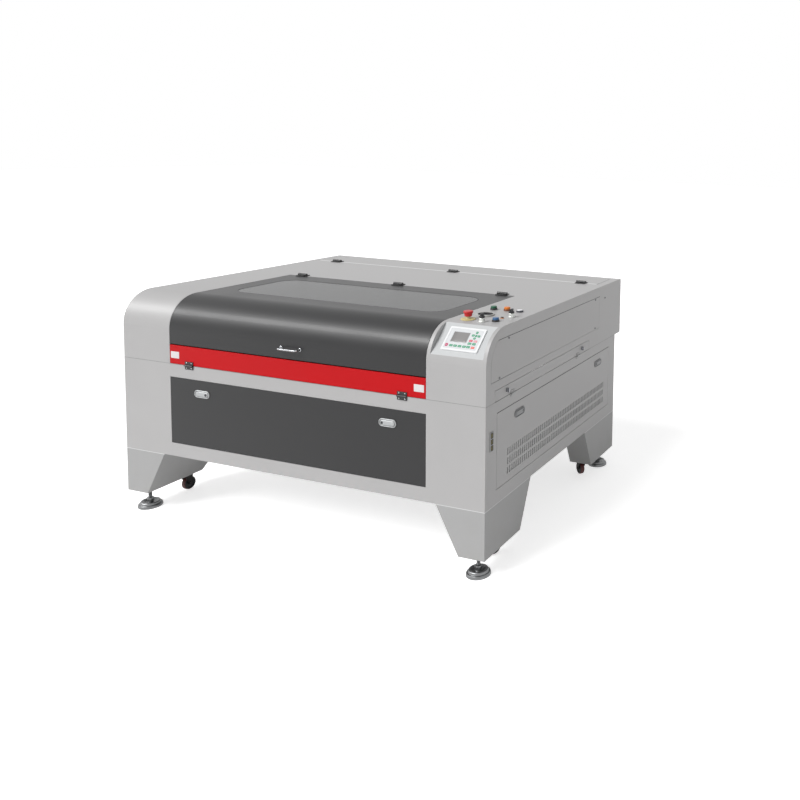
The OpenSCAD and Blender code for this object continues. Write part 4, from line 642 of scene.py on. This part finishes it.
# the bar: at each place of the path a circle of the bar's radius, square to the path, and a point at each end
along = np.gradient(path, axis=0)
along /= np.linalg.norm(along, axis=1, keepdims=True)
turn = np.linspace(0, 2 * np.pi, 24, endpoint=False)
width = np.full((len(path), 1), bar)
width[[0, -1]] = 0.0
across = np.stack([-along[:, 1], along[:, 0]], -1)[:, None, :] * np.cos(turn)[None, :, None]
across = across * width[:, :, None]
bow = np.concatenate([path[:, None, :] + across, mid_z + (width * np.sin(turn)[None, :])[:, :, None]], -1)
rosette = eased([(0, 0.0), (0.008, 0.0), (0.008, 0.0016), (0.0068, 0.0030), (0.0054, 0.0034), (0, 0.0034)],
                0.0008)
# the dark collar, on the right rosette only, stands in for shade and dark reflection
collar = eased([(0, 0.0028), (0.0054, 0.0028), (0.0054, 0.0044), (0.0048, 0.0090), (0, 0.0092)], 0.0006)
make_piece("lid_bow_handle", "lid_body",
           [(bow, chrome), (turned(rosette, (post, high.y, mid_z), out_front, 40), chrome),
            (turned(rosette, (-post, high.y, mid_z), out_front, 40), chrome),
            (turned(collar, (post, high.y, mid_z), out_front, 32), lock_dark)],
           ["lid_handle"])

# --------------------------------------
# Screws: plated pan heads with a round socket, four on each hinge of the front
# flap, and the small dull ones that hold the access panels.
def pan_head(radius, height, centre, basis):
    """A pan head: a low dome over a short rim, with a pit half its width in the middle."""
    dome = eased([(radius * 0.2, 0.0), (radius, 0.0), (radius, height * 0.45), (radius * 0.72, height * 0.9),
                  (radius * 0.5, height)], radius * 0.12, 3)
    pit = [(radius * 0.5, height), (radius * 0.46, height * 0.35), (0, height * 0.30)]
    return turned(np.concatenate([[(0, 0)], dome, pit]), centre, basis, 24)


screw_steel = plated_steel("hinge screw steel", srgb(196, 197, 198), 0.22)
low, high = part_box("front_flap_leaves")
hinge_x, hinge_z, seat_y = high.x - 0.023, low.z + 0.004, high.y - 0.0025
screw_aside, screw_off = 0.014, 0.0115
for leaf, body, up in (("moving", "front_flap_body", 1), ("fixed", "machine_body", -1)):
    heads = [(pan_head(0.0027, 0.0014, (s * hinge_x + dx, seat_y, hinge_z + up * screw_off), out_front),
              screw_steel) for s in (1, -1) for dx in (-screw_aside, screw_aside)]
    make_piece("flap_hinge_screws_" + leaf, body, heads, ())
dress(plated_steel("panel screw steel", srgb(112, 113, 115), 0.30), "panel_screws")

# --------------------------------------
# Display panel: a white moulded frame with a printed membrane let in, a grey screen
# behind its own thin border, and embossed keys in green, red and pink.
frame_white = moulded("display frame white", srgb(236, 237, 238), 0.35, deep=0.97)
dress(frame_white, "display_panel")
low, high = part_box("display_panel")
# the panel's thickness, how far the membrane is sunk, and what the thickness adds to the box over the slope
thick, sunk, more_up, more_back = 0.005, 0.0008, 0.0036, 0.0035
slope = math.atan2(high.z - low.z - more_up, high.y - low.y - more_back)
up_slope = np.array([0.0, math.cos(slope), math.sin(slope)])
out_slope = np.array([0.0, -math.sin(slope), math.cos(slope)])
on_slope = np.array([(1.0, 0, 0), up_slope, out_slope])
panel_mid = middle("display_panel") + out_slope * (thick / 2 - sunk)


def at_panel(right, up):
    """A place on the sunk face, right of and above its middle."""
    return panel_mid + np.array([right, 0.0, 0.0]) + up_slope * up


film = moulded("membrane grey white", srgb(214, 216, 218), 0.42, deep=0.96)
screen_rim = moulded("screen border", srgb(176, 180, 182), 0.4)
screen_glass, shader, places = open_finish("screen glass")
rows = places.stretched(1500.0, 700.0, 1.0).noise(1.0, 1.0)
# the screen's left end is painted darker, a painted shade
shade = places.axis("X").above(low.x + 0.028, low.x + 0.05)
set_finish(shader, Base_Color=(rows * 0.5 + shade * 0.5).between(srgb(124, 122, 122), srgb(148, 146, 145)),
           Roughness=0.12 + rows * 0.05, Normal=rows.bump(0.03, 0.0001))
# half the width and height of each sheet; past half its height, a level closes to a line
film_half, rim_half, glass_half = 0.0728, 0.0368, 0.0348
film_tall, rim_tall, glass_tall, past = 0.0458, 0.0248, 0.0228, 1e-5
film_levels = [(film_tall + past, -0.0004), (0.0, -0.0004), (0.0, 0.0002), (film_tall + past, 0.0002)]
rim_levels = [(rim_tall + past, 0.0), (0.0, 0.0), (0.0, 0.0003), (0.0006, 0.0005), (rim_tall + past, 0.0005)]
glass_levels = [(glass_tall + past, 0.0), (0.0, 0.0), (0.0, 0.0006), (0.0004, 0.0007),
                (glass_tall + past, 0.0007)]
screen_mid = at_panel(-0.019, 0.007)
shells = [(stacked(film_half, film_tall, 0.002, film_levels, at_panel(0, 0), on_slope), film),
          (stacked(rim_half, rim_tall, 0.0015, rim_levels, screen_mid, on_slope), screen_rim),
          (stacked(glass_half, glass_tall, 0.0008, glass_levels, screen_mid, on_slope), screen_glass)]
tints = {"green": (38, 150, 108), "red": (214, 66, 92), "pink": (228, 150, 160), "crimson": (192, 56, 104),
         "coral": (234, 104, 92)}
key_finish = {tint: moulded("key " + tint, srgb(*values), 0.4) for tint, values in tints.items()}
# each key: right of the panel's middle, above it, half its width, half its height, tint
key_plan = [(0.0447, 0.0356, 0.0050, 0.0052, "green"), (0.0330, 0.0216, 0.0058, 0.0048, "green"),
            (0.0462, 0.0208, 0.0046, 0.0048, "green"), (0.0592, 0.0200, 0.0056, 0.0048, "green"),
            (0.0440, 0.0088, 0.0050, 0.0046, "green"), (0.0335, -0.0035, 0.0078, 0.0046, "red"),
            (0.0543, -0.0042, 0.0078, 0.0046, "pink"), (0.0333, -0.0165, 0.0078, 0.0048, "green"),
            (0.0531, -0.0170, 0.0076, 0.0048, "green"), (-0.0633, -0.0318, 0.0072, 0.0072, "crimson"),
            (0.0548, -0.0332, 0.0076, 0.0048, "coral")]
key_plan += [(x, -0.0326, 0.0076, 0.0048, "green") for x in (-0.0428, -0.0237, -0.0040, 0.0160, 0.0343)]
mark_white = moulded("key mark white", srgb(236, 240, 238), 0.4)
bar_half, key_corner, round_from, wide_from = 0.00055, 0.0014, 0.006, 0.006
bar = [(0.00056, 0.0008), (0.0, 0.0008), (0.0, 0.00112), (0.00056, 0.00112)]
for right, up, half_a, half_b, tint in key_plan:
    corner = half_b if half_a == half_b and half_b > round_from else key_corner
    levels = [(half_b + past, 0.0), (0.0, 0.0), (0.0, 0.0006), (0.0003, 0.0009), (half_b * 0.6, 0.0010),
              (half_b + past, 0.0010)]
    shells.append((stacked(half_a, half_b, corner, levels, at_panel(right, up), on_slope), key_finish[tint]))
    # a printed bar on a narrow key, two short ones side by side on a wide key
    for side, share in ((0, 0.42),) if half_a < wide_from else ((-1, 0.24), (1, 0.24)):
        place = at_panel(right + side * half_a * 0.34, up)
        shells.append((stacked(half_a * share, bar_half, 0.0005, bar, place, on_slope, 3), mark_white))
make_piece("display_membrane", "machine_body", shells, ())

# --------------------------------------
# Emergency stop: a red moulded mushroom head that flares out over a pale neck, and
# presses down through a yellow backing disc clamped to the deck.
stop_red = moulded("stop red", srgb(208, 38, 42), 0.34)
neck_pale = moulded("stop neck pale", srgb(214, 206, 168), 0.4)


def on_deck(node):
    """A control's middle on the deck, and the height of its top above the deck."""
    return *middle(node)[:2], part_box(node)[1].z - deck_high


x, y, top = on_deck("estop")
mushroom = eased([(0, 0.0136), (0.0140, 0.0136), (0.0152, 0.0152), (0.0158, 0.0215), (0.0172, 0.0255),
                  (0.0200, 0.0290), (0.0200, top - 0.0030), (0.0186, top - 0.0004), (0.0130, top),
                  (0.0, top - 0.0010)], 0.0018)
neck = eased([(0, -0.0195), (0.0108, -0.0195), (0.0108, 0.0030), (0.0102, 0.0050), (0.0098, 0.0130),
              (0, 0.0140)], 0.0010)
make_piece("stop_mushroom", "estop_body",
           [(turned(mushroom, (x, y, deck_high), points=64), stop_red),
            (turned(neck, (x, y, deck_high), points=40), neck_pale)], ["estop"])
collar_yellow = moulded("collar yellow", srgb(214, 202, 140), 0.45, deep=0.93)
disc = eased([(0.0115, 0.0), (0.0298, 0.0), (0.0300, 0.0006), (0.0300, 0.0028), (0.0286, 0.0040),
              (0.0190, 0.0040), (0.0180, 0.0034), (0.0115, 0.0034), (0.0115, 0.0)], 0.0006)
make_piece("stop_backing_disc", "machine_body", [(turned(disc, (x, y, deck_high), points=64), collar_yellow)],
           ["estop_collar"])

# --------------------------------------
# Push buttons: coloured caps, slightly crowned, in moulded bezels clamped through
# the deck. By the meter stands a small lamp, an amber lens ring under a black cap.
black_plastic = moulded("black plastic", srgb(30, 30, 33), 0.40)
bezels = []
caps = {"green": srgb(24, 96, 68), "orange": srgb(236, 130, 36), "white": srgb(240, 241, 244),
        "blue": srgb(46, 98, 148)}
# each bezel's colour paints the shade under its cap: black under green and blue, dark brown under orange, dark
# grey under white
bezel_shades = {"green": black_plastic, "orange": moulded("bezel brown", srgb(120, 66, 34), 0.4),
           "white": moulded("bezel grey", srgb(70, 70, 78), 0.4), "blue": black_plastic}
ring = eased([(0, -0.0195), (0.0109, -0.0195), (0.0109, -0.0001), (0.0152, -0.0001), (0.0155, 0.0006),
              (0.0155, 0.0030), (0.0148, 0.0040), (0.0148, 0.0072), (0.0142, 0.0080), (0.0137, 0.0080),
              (0.01335, 0.0076), (0.01335, 0.0009), (0, 0.0009)], 0.0005, 3)
for colour_name, colour in caps.items():
    node = "button_" + colour_name
    x, y, top = on_deck(node)
    cap = eased([(0, 0.0041), (0.0127, 0.0041), (0.0130, 0.0046), (0.0130, top - 0.0022),
                 (0.0118, top - 0.0006), (0.0090, top - 0.0001), (0, top - 0.0004)], 0.0010)
    make_piece(node.replace("button", "push_cap"), node + "_body",
               [(turned(cap, (x, y, deck_high), points=48), moulded("cap " + colour_name, colour, 0.30))],
               [node])
    bezels.append((turned(ring, (x, y, deck_high), points=48), bezel_shades[colour_name]))
low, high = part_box("panel_meter")
lamp_place = (low.x + 0.128, low.y + 0.013, deck_high)
lamp_amber = moulded("lamp amber", srgb(232, 150, 86), 0.3)
lens = eased([(0, 0.0), (0.0080, 0.0), (0.0080, 0.0018), (0.0074, 0.0026), (0, 0.0026)], 0.0004)
lamp_cap = eased([(0, 0.0024), (0.0066, 0.0024), (0.0062, 0.0050), (0.0046, 0.0060), (0, 0.0060)], 0.0006)
bezels.append((turned(lens, lamp_place, points=36), lamp_amber))
bezels.append((turned(lamp_cap, lamp_place, points=36), black_plastic))
make_piece("button_bezel_rings", "machine_body", bezels, ["button_bezels"])

# --------------------------------------
# Selector switches: black moulded rotary knobs with a raised grip and a white
# pointer line, which turn on bright bases clamped through the deck.
pointer_white = moulded("pointer white", srgb(228, 229, 230), 0.45)
base_pale = satin_cast("switch base bright", srgb(224, 226, 222), 0.28)
bases = []
stand = eased([(0, -0.0195), (0.0109, -0.0195), (0.0109, -0.0001), (0.0128, -0.0001), (0.0130, 0.0008),
               (0.0130, 0.0040), (0.0116, 0.0062), (0.0112, 0.0158), (0.0098, 0.0179), (0.0057, 0.0180),
               (0.0055, 0.0064), (0, 0.0064)], 0.0008, 3)
knob = eased([(0, 0.0068), (0.0048, 0.0068), (0.0048, 0.0186), (0.0112, 0.0186), (0.0120, 0.0194),
              (0.0118, 0.0246), (0.0100, 0.0258), (0, 0.0260)], 0.0008, 3)
grip_half, grip_long, line_half, line_off = 0.0048, 0.0112, 0.0005, 0.0055
for node in ("selector_front", "selector_rear"):
    x, y, top = on_deck(node)
    bases.append((turned(stand, (x, y, deck_high), points=40), base_pale))
    grip = eased([(0.0049, 0.0240), (0.0, 0.0240), (0.0002, top - 0.0016), (0.0012, top - 0.0002),
                  (0.0049, top)], 0.0007, 3)
    line = [(line_half, top - 0.0006), (0.0, top - 0.0006), (0.0, top - 0.00002), (line_half, top - 0.00002)]
    make_piece(node.replace("selector", "selector_knob"), node + "_body",
               [(turned(knob, (x, y, deck_high), points=40), black_plastic),
                (stacked(grip_half, grip_long, 0.0036, grip, (x, y, deck_high)), black_plastic),
                (stacked(line_half, 0.0040, 0.0004, line, (x, y + line_off, deck_high), points=3),
                 pointer_white)], [node])
make_piece("selector_stands", "machine_body", bases, ["switch_bases"])

# --------------------------------------
# Panel meter: a flat round instrument, a pale rim round a black moulded case. Its
# pale dial lies sunk in the case, with a plain scale of thin bars and a needle.
x, y, top = on_deck("panel_meter")
dial_pale = moulded("dial pale", srgb(206, 208, 209), 0.5)
rim_grey = moulded("meter rim grey", srgb(190, 190, 186), 0.4)
rim = eased([(0.0322, -0.0001), (0.0354, -0.0001), (0.0360, 0.0008), (0.0356, top - 0.0010), (0.0344, top),
             (0.0328, top), (0.0322, top - 0.0006), (0.0322, -0.0001)], 0.0005, 3)
case = eased([(0, -0.0195), (0.0299, -0.0195), (0.0299, -0.0001), (0.0322, -0.0001), (0.0322, top - 0.0012),
              (0.0312, top - 0.0008), (0.0304, top - 0.0016), (0.0290, top - 0.0120), (0, top - 0.0120)],
             0.0003, 3)
dial = eased([(0, top - 0.0120), (0.0286, top - 0.0120), (0.0286, top - 0.0114), (0, top - 0.0114)],
             0.0002, 2)
boss = eased([(0, top - 0.0114), (0.0034, top - 0.0114), (0.0030, top - 0.0100), (0, top - 0.0098)], 0.0004)
pivot = np.array([x, y - 0.008, deck_high + top])
mark = [(0.0004, -0.0001), (0.0, -0.0001), (0.0, 0.0001), (0.0004, 0.0001)]
mark_down, needle_down, scale_radius, needle_half = (0, 0, 0.0112), (0, 0, 0.0106), 0.026, 0.0115


def turned_by(degrees):
    """The directions across, along and up on the dial, turned clockwise by so many degrees."""
    a = math.radians(degrees)
    return np.array([(math.cos(a), -math.sin(a), 0.0), (math.sin(a), math.cos(a), 0.0), (0, 0, 1.0)])


shells = [(turned(rim, (x, y, deck_high), points=72), rim_grey),
          (turned(case, (x, y, deck_high), points=72), black_plastic),
          (turned(dial, (x, y, deck_high), points=64), dial_pale)]
for step in range(11):
    basis = turned_by(-50 + 10 * step)
    tall = 0.0022 if step % 5 == 0 else 0.0013
    place = pivot - mark_down + basis[1] * scale_radius
    shells.append((stacked(0.00035, tall, 0.0003, mark, place, basis, 3), black_plastic))
basis = turned_by(-42)
place = pivot - needle_down + basis[1] * needle_half
shells.append((stacked(0.0004, needle_half, 0.0003, mark, place, basis, 3), black_plastic))
shells.append((turned(boss, (x, y - 0.008, deck_high), points=32), black_plastic))
make_piece("ammeter_dial", "machine_body", shells, ["panel_meter"])

# --------------------------------------
# Side flap turn knobs: turned and chromed discs with a raised grip bar. Their
# shafts run through the flap to the cams that hold it shut.
dress(plated_steel("knob chrome", srgb(158, 159, 163), 0.06), "flap_knob_right_front", "flap_knob_right_rear")

# --------------------------------------
# Port strip: a painted strip on the side wall with three black moulded sockets,
# 1.4 mm proud, each with an olive insert and two dark slots.
low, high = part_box("port_plate")
dress(light_grey, "port_plate")
olive = moulded("socket olive", srgb(128, 118, 40), 0.45)
mouth_half, mouth_tall, insert_half, insert_tall = 0.0082, 0.0108, 0.0052, 0.0076
slot_half, slot_tall, slot_off, sink = 0.0040, 0.0020, 0.0034, 0.0004
mouth = [(mouth_half, -0.0001), (0.0, -0.0001), (0.0, 0.0016), (0.0010, 0.0018), (0.0018, 0.0006),
         (mouth_half, 0.0006)]
insert = eased([(insert_half, 0.0004), (0.0, 0.0004), (0.0, 0.0009), (0.0006, 0.0012), (insert_half, 0.0012)],
               0.0002, 2)
slot = [(slot_tall, 0.0010), (0.0, 0.0010), (0.0, 0.0014), (slot_tall, 0.0014)]
shells = []
for k in (-1, 0, 1):
    place = np.array([high.x - sink, (low.y + high.y) / 2, (low.z + high.z) / 2 + k * (high.z - low.z) / 3])
    shells.append((stacked(mouth_half, mouth_tall, 0.0016, mouth, place, out_right), black_plastic))
    shells.append((stacked(insert_half, insert_tall, 0.0012, insert, place, out_right), olive))
    for off in (-slot_off, slot_off):
        shells.append((stacked(slot_half, slot_tall, 0.0009, slot, place + (0, 0, off), out_right, 4),
                       black_plastic))
make_piece("port_inserts", "machine_body", shells, ())

# --------------------------------------
# Motion system and laser tube inside the machine: extruded aluminium beams and
# rails, a honeycomb bed on plated lift screws, a dark anodised laser head, and a
# glass tube with metal end caps on black saddles.
dress(plated_steel("extruded aluminium", srgb(190, 192, 194), 0.34), "linear_rails", "gantry_beam")
low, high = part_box("worktable")
bed, shader, places = open_finish("honeycomb bed")
# three waves in step make hexagons, 7 mm from cell to cell: their phase to the metre across and along
comb_across, comb_along, frame_wide = 523.6, 906.9, 0.03
across, along, height = places.axis("X") * comb_across, places.axis("Y") * comb_along, places.axis("Z")
comb = across.sum("COSINE", across * 2.0) + across.sum("COSINE", across + along)
comb = comb + across.sum("COSINE", across - along)
inner_x = places.axis("X").within(low.x + frame_wide, high.x - frame_wide)
inner_y = places.axis("Y").within(low.y + frame_wide, high.y - frame_wide)
# the open cells are painted dark, a painted shade for the deep holes between the thin walls
cell = comb.above(-0.6, -0.1) * (inner_x * inner_y) * height.above(high.z - 0.001, high.z - 0.0005)
set_finish(shader, Base_Color=cell.between(srgb(176, 178, 180), srgb(38, 39, 41)), Metallic=0.9 - cell * 0.6,
           Roughness=0.36 + cell * 0.2, Normal=(1.0 - cell).bump(0.5, 0.001))
dress(bed, "worktable")
dress(screw_steel, "lift_screws")
dress(moulded("anodised head", srgb(44, 46, 50), 0.40), "laser_head")
dress(black_plastic, "tube_saddles")
tube_glass, shader, places = open_finish("tube glass")
haze = places.noise(20.0, 3.0)
low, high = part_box("laser_tube")
cap_long, half_long = 0.061, (high.x - low.x) / 2
from_middle = (places.axis("X") - (low.x + high.x) / 2).abs()
end_cap = from_middle.above(half_long - cap_long, half_long - cap_long + 0.001)
base = end_cap.between(haze.between(srgb(206, 222, 232), srgb(232, 238, 240)), srgb(176, 178, 180))
set_finish(shader, Base_Color=base, Roughness=0.06 + haze * 0.08 + end_cap * 0.22, Metallic=end_cap * 0.9,
           Alpha=0.45 + end_cap * 0.55)
dress(tube_glass, "laser_tube")

# --------------------------------------
# Room: a plain pale floor, an even white surround, a wide soft light from the front
# left and a long panel seen only in reflections. The camera is at the front right.
def seen_directly(tree):
    """1 for rays from the camera, off a mirror or through glass, 0 for those that light the machine."""
    rays = tree.nodes.new("ShaderNodeLightPath").outputs
    seen = Wire(tree, rays["Is Camera Ray"]) + Wire(tree, rays["Is Glossy Ray"])
    seen = seen + Wire(tree, rays["Is Transmission Ray"])
    return seen.sum("MINIMUM", seen, 1.0)


floor_mesh = bpy.data.meshes.new("floor")
floor_mesh.from_pydata([(-30, -30, 0), (30, -30, 0), (30, 30, 0), (-30, 30, 0)], [], [(0, 1, 2, 3)])
floor = bpy.data.objects.new("floor", floor_mesh)
bpy.context.scene.collection.objects.link(floor)
floor_white, shader, places = open_finish("floor white")
black, white = (0.0, 0.0, 0.0, 1.0), (1.0, 1.0, 1.0, 1.0)
mottle = places.noise(0.6, 2.0).between((0.88, 0.88, 0.88, 1.0), (0.91, 0.91, 0.91, 1.0))
glow, glow_strength = seen_directly(floor_white.node_tree).between(black, white), 0.64
set_finish(shader, Base_Color=mottle, Roughness=0.9, Emission_Color=glow, Emission_Strength=glow_strength)
floor_mesh.materials.append(floor_white)
floor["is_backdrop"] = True

lit, shown = 0.32, 1.0
world = bpy.data.worlds.new("studio")
bpy.context.scene.world = world
world.use_nodes = True
sky = world.node_tree
background = sky.nodes["Background"]
background.inputs["Color"].default_value = white
strength = seen_directly(sky) * (shown - lit) + lit
sky.links.new(strength.socket, background.inputs["Strength"])

lamp = bpy.data.lights.new("wide front light", "SUN")
lamp.energy = 2.5
lamp.angle = math.radians(30)
sun = bpy.data.objects.new("wide front light", lamp)
bpy.context.scene.collection.objects.link(sun)
to_sun = Vector((-0.359, -0.620, 0.698))
sun.matrix_world = (-to_sun).to_track_quat("-Z", "Y").to_matrix().to_4x4()

panel = bpy.data.lights.new("soft panel at the left", "AREA")
panel.shape, panel.size, panel.size_y, panel.energy = "RECTANGLE", 6.0, 1.5, 330.0
strip = bpy.data.objects.new("soft panel at the left", panel)
bpy.context.scene.collection.objects.link(strip)
strip.visible_diffuse = strip.visible_camera = False
place, lid_curve = Vector((-4.6, -4.0, 5.0)), Vector((-0.2, -0.6, 0.95))
back = (place - lid_curve).normalized()
level = (Vector((1.0, 0.0, 0.0)) - back * back.x).normalized()
turn = Matrix((level, back.cross(level), back)).transposed().to_4x4()
strip.matrix_world = Matrix.Translation(place) @ turn

camera_data = bpy.data.cameras.new("camera")
camera_data.sensor_width = 36.0
camera_data.lens = 35.839
camera_data.shift_x, camera_data.shift_y = -0.36476, -0.23393
camera_data.clip_end = 100.0
camera = bpy.data.objects.new("camera", camera_data)
bpy.context.scene.collection.objects.link(camera)
bpy.context.scene.camera = camera
camera_place = Vector((2.52058, -3.31903, 1.74514))
yaw, pitch, roll = 0.2911, 0.0853, 0.0318
ahead = Vector((-math.sin(yaw) * math.cos(pitch), math.cos(yaw) * math.cos(pitch), -math.sin(pitch)))
right = Vector((math.cos(yaw), math.sin(yaw), 0.0))
up = right.cross(ahead)
side = right * math.cos(roll) + up * math.sin(roll)
rise = up * math.cos(roll) - right * math.sin(roll)
turn = Matrix((side, rise, -ahead)).transposed().to_4x4()
camera.matrix_world = Matrix.Translation(camera_place) @ turn

bpy.context.scene.view_settings.view_transform = "Standard"

low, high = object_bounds()
